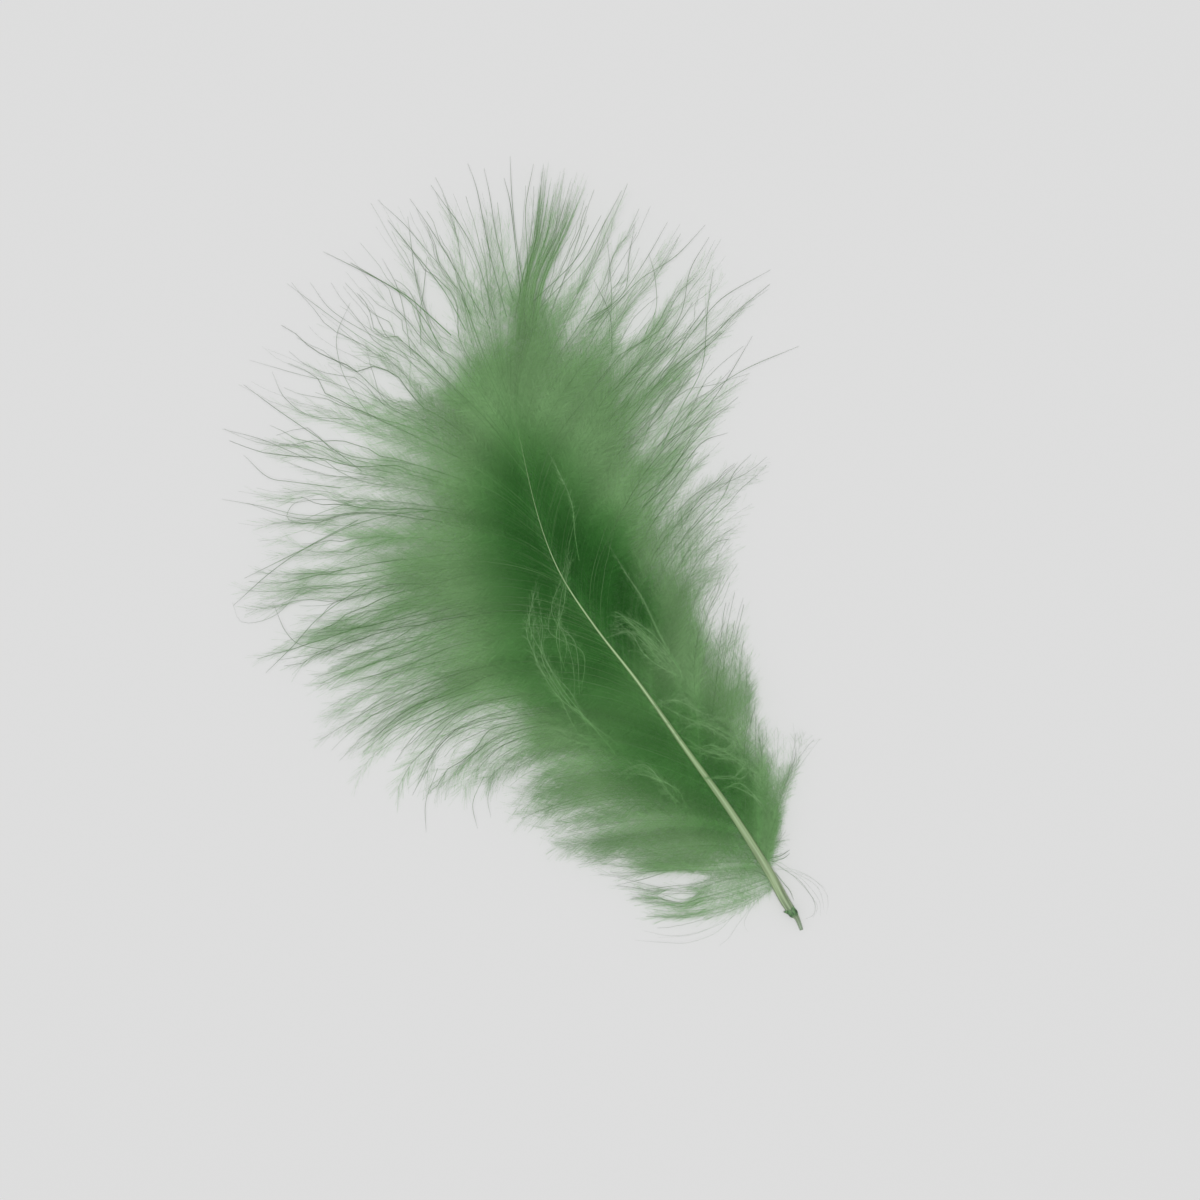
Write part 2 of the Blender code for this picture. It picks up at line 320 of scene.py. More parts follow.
def parted(places, start, far, own_start):
    """Barb starts moved out of the partings, each barb to the side that it starts on."""
    for middle, share_there, half_share, half_start, _, _ in places:
        lens = np.clip(1 - ((far - share_there) / half_share) ** 2, 0.0, 1.0) ** 1.5
        half = half_start * lens
        side = np.where(own_start < middle, -1.0, 1.0)
        off = np.maximum(side * (start - middle), 0.0)
        span = PARTED_OVER * half_start
        moved = middle + side * (half + off * (1 - half / span))
        start = np.where((off < span) & (half > 0), moved, start)
    return start


# %% [markdown]
# ## Growing the barbs
# A barb starts on the side of the shaft and heads forward along it before it turns out, so the barbs open
# like a fountain. They could be combed as particle hair, but an export drops that. Here a barb between two
# locks follows a curve between theirs. Further out half of the barbs are drawn to the nearer lock, two in
# five keep to themselves as a fine fill between the locks, and one in eight strays. Last, each barb gets a
# bend and a wave of its own, so that the bare ends cross each other as loose hairs do.

# %% How barbs differ along the shaft: start, downy share, cling, shortest, hair radius, wave, sleekness
LEFT_LOOK = (
    (7.5, 1.08, 0.4, 0.9, 0.018, 0.5, 1.25),
    (9.6, 1.08, 0.4, 0.9, 0.018, 0.5, 1.1),
    (16.2, 1.36, 0.12, 0.86, 0.02, 0.4, 0.2),
    (26.1, 1.36, 0.15, 0.86, 0.024, 0.4, 0.1),
    (37.4, 1.02, 0.65, 0.82, 0.034, 0.8, 0.7),
    (51.8, 1.03, 0.75, 0.82, 0.032, 1.1, 0.85),
    (60.2, 1.05, 0.8, 0.84, 0.034, 1.2, 0.85),
    (65.2, 0.98, 0.8, 0.82, 0.034, 1.3, 0.85),
    (78.5, 0.84, 0.75, 0.78, 0.03, 1.3, 0.9),
    (88.3, 0.92, 0.5, 0.78, 0.02, 0.8, 1),
    (95.2, 0.96, 0.4, 0.82, 0.016, 0.6, 1),
)
RIGHT_LOOK = (
    (10.5, 1.05, 0.4, 0.7, 0.01, 0.6, 0),
    (11.7, 1.05, 0.4, 0.75, 0.012, 0.6, 0),
    (12.5, 1.12, 0.3, 0.85, 0.014, 0.5, 0),
    (20.4, 1.07, 0.3, 0.85, 0.014, 0.6, 0.1),
    (35, 1, 0.35, 0.8, 0.018, 0.8, 0.2),
    (49, 0.97, 0.45, 0.76, 0.028, 1.1, 0.6),
    (69.1, 0.98, 0.5, 0.76, 0.024, 1.1, 1),
    (84.5, 0.97, 0.45, 0.78, 0.019, 0.8, 1),
    (95.2, 0.98, 0.3, 0.82, 0.016, 0.6, 1),
)
SEED = 11
LEFT_BARBS, RIGHT_BARBS = 235, 205
LEFT_CROWD, RIGHT_CROWD = (11.0, 19), (13.0, 34)  # up to where on the shaft, and how many barbs of all
KINDS = (0.48, 0.4, 0.12)  # shares of barbs that cling to a lock, that keep to themselves and that stray
WAVY_BY_KIND = np.array((1.0, 0.5, 1.3))
BENT_BY_KIND = np.array((0.028, 0.016, 0.075))  # how far the end bends aside, as a share of the reach
WAVE_LENGTHS, WAVE_DEPTHS = (13.0, 30.0), (0.1, 0.8)
KINKED = 0.09  # how uneven the line of a barb is
LONGEST = 1.02  # the reach of the longest barb, as a share of its lock's
ALOOF = 0.1  # how much the other kinds still cling
LAYERS = (-0.8, 1.6)  # how far under and over the middle of the down a barb may lie
SUNK, RIPPLE = 0.25, 0.25  # how far a root lies under the shaft's middle, and a barb goes up and down
ROOM_BELOW = 0.55  # how high over the table the middle of the down stays
LOWEST, LOWEST_VARIES = 0.2, 0.25
BARB_POINTS = 25
chance = np.random.default_rng(SEED)
share = np.linspace(0.0, 1.0, BARB_POINTS)  # how far along its barb each point lies


def unit(vectors):
    """Vectors of length 1 that point the same way."""
    return vectors / np.maximum(np.linalg.norm(vectors, axis=-1, keepdims=True), 1e-9)


def sideways(paths):
    """The level direction across each path, at each of its points."""
    along = np.gradient(paths, axis=1)
    across = np.stack((-along[..., 1], along[..., 0], np.zeros(along.shape[:2])), -1)
    return unit(across)


def looks(rows, start):
    """The columns of a look table at each start."""
    table = np.array(rows)
    return [np.interp(start, table[:, 0], column) for column in table[:, 1:].T]


def grow_barbs(field, places, look, count, crowd):
    """The middle lines of a side's barbs as barbs, points and X, Y, Z, where each starts, and its kind."""
    roots_at = field[0]
    crowded_to, crowded = crowd
    own_start = np.interp(
        np.arange(count) + chance.uniform(-0.4, 0.4, count),
        (0, crowded, count - 1),
        (roots_at[0], crowded_to, roots_at[-1]),
    )
    _, cling, shortest, _, wavy, _ = looks(look, own_start)
    nearer = roots_at[np.argmin(np.abs(roots_at[None] - own_start[:, None]), axis=1)]

    far = share[None, :] * (shortest + (LONGEST - shortest) * chance.random(count))[:, None]
    kind = chance.choice(3, count, p=KINDS)
    cling = cling * np.where(kind == 0, chance.uniform(0.6, 1.1, count), ALOOF)
    drawn = (nearer - own_start)[:, None] * cling[:, None] * ease(share, 0.25, 0.95)[None, :]
    start = parted(places, own_start[:, None] + drawn, far, own_start[:, None])
    start = np.clip(start, roots_at[0], roots_at[-1])
    paths = vane_at(field, start, far)

    reach = np.linalg.norm(paths[:, -1] - paths[:, 0], axis=1)
    waves = reach / chance.uniform(*WAVE_LENGTHS, count)
    phase = chance.uniform(0, 2 * np.pi, (2, count))
    swell = np.sin(waves[:, None] * 2 * np.pi * share + phase[0][:, None])
    depth = (chance.uniform(*WAVE_DEPTHS, count) * wavy * WAVY_BY_KIND[kind])[:, None] * share
    bend = chance.normal(0.0, 1.0, count) * BENT_BY_KIND[kind] * wavy * reach
    kinks = chance.normal(0.0, KINKED, paths.shape[:2]) * wavy[:, None] * share
    swing = depth * swell + bend[:, None] * share**2.5 + kinks
    paths += sideways(paths) * swing[..., None]
    layer = chance.uniform(*LAYERS, count)[:, None] * ease(share, 0.0, 0.35)
    ripple = RIPPLE * np.sin(waves[:, None] * 4 * np.pi * share + phase[1][:, None]) * share
    paths[..., 2] = np.maximum(paths[..., 2] - SUNK * (1 - share), ROOM_BELOW) + layer + ripple
    paths[..., 2] = np.maximum(paths[..., 2], LOWEST + LOWEST_VARIES * chance.random(count)[:, None])
    return paths, own_start, kind


LEFT_GROWN = grow_barbs(LEFT_FIELD, LEFT_PLACES, LEFT_LOOK, LEFT_BARBS, LEFT_CROWD)
RIGHT_GROWN = grow_barbs(RIGHT_FIELD, RIGHT_PLACES, RIGHT_LOOK, RIGHT_BARBS, RIGHT_CROWD)


def lengths_of(paths):
    """How long each path is."""
    return np.linalg.norm(np.diff(paths, axis=1), axis=2).sum(1)


print("longest barb:", round(float(lengths_of(LEFT_GROWN[0]).max()), 1), "mm")

# %% [markdown]
# ## From lines and numbers to meshes
# Hundreds of barbs and hundreds of thousands of barbules would take an operator for ever, so these meshes
# are filled from arrays. Each mesh also gets a map that has nothing to do with its shape: across it runs
# how pale the colour is there, which in the down is the painted shade of its heaps, and up it a number that
# each barb draws for itself. The material reads its colour from that map, so a whole side can be one piece
# and still have no two barbs alike.

# %% Mesh from arrays
DYE_AND_SHADE_MAP = "OFBake"


def mesh_piece(name, points, faces, map_points):
    """A mesh object from arrays: points in millimetres, faces, and each corner's place on the map of dye and
    painted shade.
    """
    mesh = bpy.data.meshes.new(name)
    corners = faces.shape[1]
    mesh.vertices.add(len(points))
    mesh.vertices.foreach_set("co", place(points).astype(np.float32).ravel())
    mesh.loops.add(faces.size)
    mesh.loops.foreach_set("vertex_index", faces.astype(np.int32).ravel())
    mesh.polygons.add(len(faces))
    mesh.polygons.foreach_set("loop_start", np.arange(0, faces.size, corners, dtype=np.int32))
    mesh.polygons.foreach_set("use_smooth", np.ones(len(faces), bool))
    dye_and_shade_map = mesh.uv_layers.new(name=DYE_AND_SHADE_MAP)
    dye_and_shade_map.uv.foreach_set("vector", map_points.astype(np.float32).ravel())
    mesh.update(calc_edges=True)
    mesh.validate()
    piece = bpy.data.objects.new(name, mesh)
    bpy.context.scene.collection.objects.link(piece)
    print(f"{name}: {len(faces) * (corners - 2)} triangles")
    return piece


# %% [markdown]
# ## Painted shade where the down is heaped
# The dye is the same all over, but down is see-through stuff: where many layers lie on each other it looks a
# deep bottle green, and a single hair on the table looks grey-green. That deepening comes from light and
# shade,
# and here it is painted in: the depth of colour follows how the down is heaped. The painted shade is deepest
# in a few places along the shaft, and pales along every barb.

# %% Painted shade of the heaped down
# Spots where the painted shade of the heaped down is deepest; depth is how much paleness each takes off.
PAINTED_SHADE_SPOTS = (  # across, along, radius, depth
    (-20.5, 67, 13, 0.39),
    (-19, 81, 10, 0.26),
    (-10, 60, 5, 0.27),
    (-10, 53.5, 5, 0.27),
    (-14.5, 65, 6.5, 0.16),
    (-9, 69, 4, 0.12),
    (-17, 49, 8, 0.24),
    (-28, 53, 9, 0.16),
    (-13, 36, 9, 0.25),
    (-3.5, 24, 9.5, 0.34),
    (-2.5, 51, 4.5, 0.1),
    (-3, 38, 5, 0.1),
    (-25, 30, 9, 0.11),
    (-18, 29, 8, 0.14),
    (-26, 43, 8, 0.14),
    (-31, 54, 7, 0.08),
)
# The painted shade lessens out along every barb, from this paleness at its root to that at its tip.
PALE_FROM, PALE_TO = 0.5, 0.95  # at a barb's root and at its tip, where the down isn't heaped
MOST_PAINTED_SHADE, LEAST_PAINTED_SHADE = 0.02, 0.97


def painted_shade_at(points, along_barb):
    """0 is the deepest painted shade and 1 the palest green, for points and how far out on their barb each
    one is.
    """
    deep = np.zeros(points.shape[:-1])
    for across, along, radius, depth in PAINTED_SHADE_SPOTS:
        away = np.hypot(points[..., 0] - across, points[..., 1] - along)
        deep = deep + depth * np.exp(-((away / radius) ** 2))
    pale = PALE_FROM + (PALE_TO - PALE_FROM) * along_barb**1.5 - deep
    return np.clip(pale, MOST_PAINTED_SHADE, LEAST_PAINTED_SHADE)


# The paleness that the painted shade leaves beside the shaft, half way up.
print("dye half way up the shaft:", round(float(painted_shade_at(shaft_at(49.0)[0, :2], 0.0)), 2))


# %% [markdown]
# ## A hair is a tube
# A barb is a round hair. At this size three sides are enough to look round, and they keep the feather light.
# Every ring of the tube stands square to the hair's own line, and its faces get places on the dye map.

# %% Tubes for the barbs
SIDES = 3
MAP_STEP = 0.004  # how far apart a barb's sides lie on the dye map


def tubes(paths, radii, paleness, own):
    """Points, faces and map places of a three-sided tube along every path."""
    barbs, rings = paths.shape[:2]
    along = unit(np.gradient(paths, axis=1))
    across = sideways(paths)
    up = np.cross(along, across)
    turn = np.pi / 2 + np.arange(SIDES) * 2 * np.pi / SIDES
    around = across[:, :, None] * np.cos(turn)[:, None] + up[:, :, None] * np.sin(turn)[:, None]
    points = paths[:, :, None] + around * radii[:, :, None, None]
    index = np.arange(barbs * rings * SIDES).reshape(barbs, rings, SIDES)
    onward = np.roll(index, -1, axis=2)
    quads = np.stack((index[:, :-1], onward[:, :-1], onward[:, 1:], index[:, 1:]), -1).reshape(-1, 4)

    low = np.broadcast_to(paleness[:, :-1, None], (barbs, rings - 1, SIDES))
    high = np.broadcast_to(paleness[:, 1:, None], (barbs, rings - 1, SIDES))
    high = np.where(np.abs(high - low) < MAP_STEP, low + MAP_STEP, high)
    first = own[:, None, None] + MAP_STEP * np.arange(SIDES)[None, None, :]
    first = np.broadcast_to(first, (barbs, rings - 1, SIDES))
    second = first + MAP_STEP
    corners = np.stack((
        np.stack((low, first), -1),
        np.stack((low, second), -1),
        np.stack((high, second), -1),
        np.stack((high, first), -1),
    ), -2)
    return points.reshape(-1, 3), quads, corners.reshape(-1, 2)


# %% [markdown]
# ## The barbs as a piece
# A barb is between a few hundredths and a tenth of a millimetre thick, and keeps most of that until close
# to its tip, because the last barbules lie flat against it. So its bare end draws the feather's outline as
# a fine line. Near the shaft some barbs stand proud of the down and show as pale ribs that run out from it.

# %% Barb pieces
ROOT_SHARE = 0.95  # a barb's radius at its root, as a share of its radius further out
TIP_RADIUS = 0.015
THINNEST_BY_KIND = np.array((0.85, 0.45, 0.9))  # of the radius in the look table
THICKER_BY_KIND = np.array((1.0, 0.2, 0.4))  # how much more the thickest have
PROUD = 1.5  # how far at most a barb stands above the middle of its down
DYE_OF_BARB = 0.02, 0.95  # at its root, and how much paler it is at its tip
TONES_OF_BARBS = (0.03, 0.95)  # from the darkest barb to the lightest


def barb_radii(hair_radius, kind):
    """A barb's radius at each point, down to the tip."""
    thin = hair_radius[:, None] * (ROOT_SHARE + (1 - ROOT_SHARE) * ease(share, 0.1, 0.6))
    thin = thin + (TIP_RADIUS - thin) * ease(share, 0.84, 1.0)
    varied = THINNEST_BY_KIND[kind] + THICKER_BY_KIND[kind] * chance.random(len(kind)) ** 2
    return thin * varied[:, None]


def barb_piece(name, paths, starts, kind, look):
    """One piece of all the barbs, and what each barb draws for itself on the map."""
    own = chance.uniform(*TONES_OF_BARBS, len(paths))
    paleness = np.tile(DYE_OF_BARB[0] + DYE_OF_BARB[1] * share, (len(paths), 1))
    proud = PROUD * chance.random(len(paths)) ** 3
    proud = proud[:, None] * ease(share, 0.02, 0.12) * (1 - ease(share, 0.25, 0.6))
    lifted = paths + proud[..., None] * np.array((0.0, 0.0, 1.0))
    radii = barb_radii(looks(look, starts)[3], kind)
    return mesh_piece(name, *tubes(lifted, radii, paleness, own)), own


left_hairs, left_own = barb_piece("left_barbs", *LEFT_GROWN, LEFT_LOOK)
right_hairs, right_own = barb_piece("right_barbs", *RIGHT_GROWN, RIGHT_LOOK)

# %% [markdown]
# ## Barbules
# A real barbule is a hundredth of a millimetre wide. Here each one is a single narrow triangle, twice as
# wide at its broad end and pointed at the other, because hundreds of thousands of them have to fit. Many
# have their broad end free, which keeps the haze even further out. They stand off their barb on both sides,
# lean towards its tip, and lie flatter against it the further out they are. Towards its end they get few.
# The ones that would reach into a parting are left out, and so are some where the feather is thin.

# %% Where the feather is thin
THIN_SPOTS = (  # across, along, radius, share of the barbules that is missing
    (-19, 115, 9, 0.88),
    (-18.5, 106, 7, 0.88),
    (-27, 105, 8, 0.91),
    (-4, 113, 9, 0.94),
    (5, 105, 7, 0.72),
    (14, 95, 8, 0.74),
    (11, 86, 5, 0.44),
    (-49.5, 72, 6, 0.74),
    (-33, 112, 9, 0.6),
    (-38, 102, 9, 0.62),
    (-33, 93, 7, 0.5),
    (-45, 92, 7, 0.72),
    (-38, 85, 7, 0.64),
    (-43, 62, 9, 0.58),
    (-47, 52, 8, 0.67),
    (-36.5, 44, 7.5, 0.84),
    (-44, 44, 4.5, 0.84),
    (-31, 24, 4, 0.6),
    (-34.5, 30.5, 4.5, 0.42),
    (-2, 102, 7, 0.7),
    (3.5, 92, 6, 0.68),
    (3.5, 82, 7, 0.68),
    (0, 72, 4.5, 0.5),
    (9, 64, 7, 0.8),
    (11, 57.5, 5, 0.88),
    (3, 60, 6, 0.7),
    (4, 52, 5.5, 0.91),
    (5, 43, 5, 0.64),
    (4.6, 31, 6, 0.76),
    (-5.5, 8, 3.5, 0.8),
    (-10, 9, 5, 0.82),
    (-15.5, 8.5, 5, 0.66),
    (-20.5, 9.5, 4.5, 0.52),
    (-21, 14.4, 2.6, 0.85),
    (-25, 16.6, 3.8, 0.92),
    (8.8, 24, 6, 0.88),
    (5.6, 19.5, 4.4, 0.93),
    (9.4, 46, 4, 0.93),
    (8.4, 40.5, 3.2, 0.85),
)
TICKS = np.linspace(-0.96, 0.96, 17)  # where along a parting its distance is taken


def bare_at(points, field, places):
    """How likely a barbule that reaches these points is to be left out."""
    bare = np.zeros(len(points))
    for across, along, radius, missing in THIN_SPOTS:
        away = np.hypot(points[:, 0] - across, points[:, 1] - along)
        bare = np.maximum(bare, missing * np.exp(-((away / radius) ** 4)))
    for start, far, half_share, _, missing, half_width in places:
        line = vane_at(field, np.full(len(TICKS), start), far + half_share * TICKS)[:, :2]
        limit = half_width * (1 - TICKS**2) ** 1.5
        middle = line[len(TICKS) // 2]
        near = np.hypot(*(points[:, :2] - middle).T) < np.hypot(*(line[0] - middle)) + 2 * half_width
        chosen = np.flatnonzero(near)
        away = np.linalg.norm(points[chosen, None, :2] - line[None], axis=2) / (limit + 0.1)
        deep = missing * (1 - ease(away.min(1), 0.85, 1.15))
        bare[chosen] = np.maximum(bare[chosen], deep)
    return bare


print(len(THIN_SPOTS), "thin spots")

# %% [markdown]
# ## How barbules grow
# Each one starts at a random place on its barb, more often where the table below says that the fluff is
# thick. Angles are in degrees: how far a barbule leans off its barb, how far it tilts up or down, and how
# far its flat side is rolled. Next to the shaft barbules only hang down, so that the shaft stays clear.

# %% Barbules: how many, how long
BARBULES_PER_MM = 96.0
LONGEST_BARBULE = 3.0
BARBULE_HALF_WIDTH = 0.0095
FLARED = 0.6  # share of the outer barbules whose broad end is the free one
FLUFF = (  # share of the downy length, how many barbules there, how long
    (0, 0.45, 0.55),
    (0.08, 0.6, 1),
    (0.3, 1, 1),
    (0.55, 0.68, 1.15),
    (0.8, 0.27, 1.35),
    (1, 0, 0.9),
)
LEAN, LEAN_VARIES = 56.0, 12.0
TILT_VARIES, ROLLED = 32.0, 70.0
LENGTH_VARIES, WIDTH_VARIES = (0.4, 1.15), (0.7, 1.3)
DOWN_ENDS = 0.99  # share of the barb beyond which there is no barbule
HANGING = 3.0  # how far from the shaft barbules only hang down
TIP_PALER = 0.06
TABLE_CLEAR = 0.03


def barbules(paths, own, per_mm, longest, downy, sleek, lean_at_root=LEAN, lift=0.0):
    """The corners of every barbule on the paths, and each corner's place on the dye map."""
    reach = lengths_of(paths)
    shares, many, long = np.array(FLUFF).T
    fine = np.linspace(0.0, 1.0, 101)
    filled = np.cumsum(np.interp(fine, shares, many))
    counts = np.round(reach * downy * per_mm * filled[-1] / len(fine)).astype(int)
    barb = np.repeat(np.arange(len(paths)), counts)
    number = len(barb)
    out_share = np.interp(chance.random(number), filled / filled[-1], fine)
    far = out_share * downy[barb]
    on_barb = far < DOWN_ENDS
    barb, out_share, far = barb[on_barb], out_share[on_barb], far[on_barb]
    number = len(barb)
    spot = far * (paths.shape[1] - 1)
    ring = np.minimum(spot.astype(int), paths.shape[1] - 2)
    part = (spot - ring)[:, None]
    here = paths[barb, ring] * (1 - part) + paths[barb, ring + 1] * part
    along = unit(paths[barb, ring + 1] - paths[barb, ring])
    across = unit(np.stack((-along[:, 1], along[:, 0], np.zeros(number)), -1))
    up = np.cross(along, across)

    side = np.where(chance.random(number) < 0.5, -1.0, 1.0)[:, None]
    length = longest[barb] * np.interp(out_share, shares, long) * chance.uniform(*LENGTH_VARIES, number)
    # Sleek barbs have barbules that lie flatter, and sooner.
    settled = 0.9 / np.maximum(sleek[barb], 1.0) ** 2
    straighter = (0.4 + 0.35 * np.minimum(sleek[barb], 1.0)) * ease(far, 0.18, settled)
    lean = np.radians(chance.normal(lean_at_root, LEAN_VARIES, number) * (1 - straighter))[:, None]
    tilt = np.radians(chance.normal(0.0, TILT_VARIES, number))
    shaft_near = far * reach[barb] < HANGING
    tilt = np.where(shaft_near, -np.abs(tilt), tilt)[:, None]
    out = side * across * np.cos(tilt) + up * np.sin(tilt)
    first = along * np.cos(lean) + out * np.sin(lean)
    end = here + first * length[:, None]
    roll = np.radians(chance.uniform(-ROLLED, ROLLED, number))[:, None]
    flat = unit(np.cross(first, np.array((0.0, 0.0, 1.0))))
    flat = flat * np.cos(roll) + np.cross(first, flat) * np.sin(roll)
    half = flat * (BARBULE_HALF_WIDTH * chance.uniform(*WIDTH_VARIES, number))[:, None]
    flared = (chance.random(number) < FLARED * ease(out_share, 0.2, 0.5))[:, None]
    wide, sharp = np.where(flared, end, here), np.where(flared, here, end)
    points = np.stack((wide - half, wide + half, sharp), 1)
    points[..., 2] = np.maximum(points[..., 2], TABLE_CLEAR)

    # This paleness is the painted shade of the heaped down; lift takes some of it off barbules that lie on
    # top.
    pale = np.minimum(painted_shade_at(here, far) + lift, 0.93)
    tip_pale = np.minimum(pale + TIP_PALER, 0.99)
    mine = np.clip(own[barb] + chance.normal(0.0, 0.02, number), 0.01, 0.98)
    corners = np.stack((
        np.stack((pale, mine - MAP_STEP), -1),
        np.stack((pale, mine + MAP_STEP), -1),
        np.stack((tip_pale, mine), -1),
    ), 1)
    return points, corners


def slivers(name, points, corners):
    """A piece of barbules, each a triangle of its own."""
    faces = np.arange(len(points) * 3).reshape(-1, 3)
    return mesh_piece(name, points.reshape(-1, 3), faces, corners.reshape(-1, 2))


# %% [markdown]
# ## The down
# One piece for all the down would be too heavy to handle, so each side is made in three parts, from the
# quill up. The parts overlap as the barbs do, and no seam shows between them.

# %% Down on both sides
LEFT_PARTS = (("left_lower_down", 0, 90), ("left_middle_down", 90, 160), ("left_upper_down", 160, 235))
RIGHT_PARTS = (("right_lower_down", 0, 75), ("right_middle_down", 75, 135), ("right_upper_down", 135, 205))
DOWNY_BY_KIND = np.array((1.0, 1.0, 0.65))  # how much of its downy share each kind of barb has
FULL_REACH = 45.0  # barbs of this length have barbules of full length


def down_piece(name, paths, own, starts, kind, look, field, places):
    """One piece of all the barbules of some barbs, without those that reach into a bare place."""
    downy, *_, sleek = looks(look, starts)
    downy = downy * DOWNY_BY_KIND[kind]
    longest = LONGEST_BARBULE * np.clip((lengths_of(paths) / FULL_REACH) ** 0.5, 0.5, 1.05)
    points, corners = barbules(paths, own, BARBULES_PER_MM, longest, downy, sleek)
    middle = points.mean(1)
    bare = np.maximum(bare_at(middle, field, places), bare_at(points[:, 2], field, places))
    kept = chance.random(len(points)) > bare
    return slivers(name, points[kept], corners[kept])


down = []
for parts, (paths, starts, kind), own, look, field, places in (
    (LEFT_PARTS, LEFT_GROWN, left_own, LEFT_LOOK, LEFT_FIELD, LEFT_PLACES),
    (RIGHT_PARTS, RIGHT_GROWN, right_own, RIGHT_LOOK, RIGHT_FIELD, RIGHT_PLACES),
):
    for name, low, high in parts:
        part = slice(low, high)
        given = (paths[part], own[part], starts[part], kind[part])
        down.append(down_piece(name, *given, look, field, places))

# %% [markdown]
# ## Loose hairs
# Some barbs left their lock and lie by themselves: long dark ones that stand out at the top, others that
# cross the pale edge on the left and right, thin curls beside the quill and faint wisps below it. Each row
# is a radius, then the hair's points across and along, from its root outwards.

# %% Loose hairs
TOP_HAIRS = (
    (0.048, (-13.8, 106), (-13.3, 115), (-12.6, 121), (-11.9, 127), (-12, 131)),
    (0.042, (-12, 108), (-11.4, 118), (-10.3, 125), (-9.8, 129.5)),
    (0.042, (-10, 108), (-8.6, 117), (-7, 124), (-5.3, 130)),
    (0.055, (-10.5, 109), (-9, 116), (-7.6, 123), (-7.3, 127)),
    (0.042, (-8.6, 111), (-7.4, 115), (-5.5, 121.5), (-2.2, 127.6)),
    (0.048, (-15.6, 106), (-15.4, 117), (-16.2, 122), (-17.5, 126), (-18.6, 129.6)),
    (0.042, (-16.8, 105), (-18.2, 111), (-19.4, 117), (-20.8, 123), (-22.4, 128.6)),
    (0.055, (-20.6, 106), (-21.5, 111.5), (-22.8, 116), (-24.7, 121), (-26.8, 126.6)),
    (0.034, (-19, 108), (-20.5, 115), (-22.5, 120), (-24.5, 125), (-27.3, 130)),
    (0.042, (-25.4, 104), (-25.8, 110), (-25.6, 115), (-24.6, 121), (-23.6, 126)),
    (0.042, (-28, 106), (-26.5, 111), (-25, 114), (-22.8, 119)),
    (0.08, (-23, 106), (-25.5, 110.5), (-27.6, 114), (-31, 118), (-34.5, 122)),
    (0.055, (-25, 104), (-26.3, 110), (-28.6, 115), (-32.5, 119.5), (-38, 125)),
    (0.034, (-30, 105), (-29, 111), (-28.7, 116), (-29.5, 121)),
    (0.042, (-8, 106), (0, 110.3), (5.2, 115), (9.7, 119.3)),
    (0.048, (-9, 107), (-1, 111), (5.4, 116.6)),
    (0.034, (-2, 101), (4.8, 103.8), (7.5, 109), (10.2, 114)),
    (0.038, (-2, 101.5), (3.5, 103), (9, 107), (15, 112.3)),
    (0.042, (-1, 101), (3.7, 102.8), (8, 105), (14.5, 106.8), (20.5, 110)),
    (0.034, (6, 96.5), (9, 100), (10.4, 105), (10.6, 108.5)),
    (0.034, (0.5, 98), (2.6, 103), (4, 108), (5.2, 113)),
    (0.034, (0, 95), (1.7, 101), (1.1, 107.5)),
)
LEFT_HAIRS = (
    (0.032, (-29, 103.5), (-34, 109), (-39.5, 115.5), (-41.5, 121)),
    (0.032, (-32, 104.5), (-38, 112), (-45, 122)),
    (0.029, (-39, 97.5), (-40.8, 104), (-41, 108), (-40, 112), (-36.5, 116)),
    (0.045, (-43, 90), (-47, 96), (-50, 100), (-53, 104), (-56.5, 109)),
    (0.032, (-42, 98.3), (-48, 101), (-51, 105), (-51.6, 109.5)),
    (0.038, (-47, 88.6), (-54, 92), (-57.5, 94), (-60, 98.5)),
    (0.029, (-46, 86), (-50, 86), (-55, 85.9), (-56.6, 87), (-55, 88.7), (-51.5, 88.8)),
    (0.051, (-35, 80.8), (-40, 82), (-47, 82.5), (-55, 81.5), (-66, 80)),
    (0.045, (-46, 83), (-55, 81.5), (-62, 79.5), (-69, 76.5)),
    (0.038, (-44, 70.8), (-53, 72), (-57.5, 69.8)),
    (0.045, (-48, 73), (-56.5, 70.5), (-62, 67.5), (-67.5, 64.8)),
    (0.032, (-55, 64.4), (-60.5, 67), (-62.5, 70), (-63, 75)),
    (0.022, (-46, 78), (-56, 76.5), (-63, 73), (-68.5, 73.5), (-69, 77)),
    (0.029, (-30, 92), (-36, 99), (-36.6, 104), (-36.3, 109)),
    (0.032, (-40, 88), (-48, 92.5), (-56, 99.5), (-62, 103.5)),
    (0.029, (-46, 84), (-54, 86.5), (-60, 90), (-65.5, 93)),
    (0.025, (-33, 96), (-42, 104), (-48, 108), (-54.5, 112.5)),
    (0.029, (-46.5, 42), (-50, 37.5), (-51.5, 33)),
    (0.029, (-40, 38.5), (-43, 35), (-43.6, 31)),
    (0.025, (-38, 39), (-40.5, 35), (-41, 32)),
)
RIGHT_HAIRS = (
    (0.045, (4, 88.5), (9.5, 92), (14, 95), (19.5, 98.2), (28, 100)),
    (0.04, (8, 82), (14, 85), (20, 86.5), (28.5, 87.2)),
    (0.04, (4, 79.5), (9, 81), (15, 85), (22, 91)),
    (0.05, (3, 79), (8, 84), (13, 89), (16.5, 97), (19.5, 103)),
    (0.05, (-7, 71.4), (0, 73.4), (4, 75.5), (8.5, 79.5)),
    (0.045, (-3, 70.8), (3, 73.5), (9, 77.5), (13.5, 77.8)),
    (0.04, (3, 65), (9, 68), (12.5, 71.5), (16, 73.4)),
    (0.04, (7, 93), (12.5, 98), (16, 104), (20.5, 108)),
)
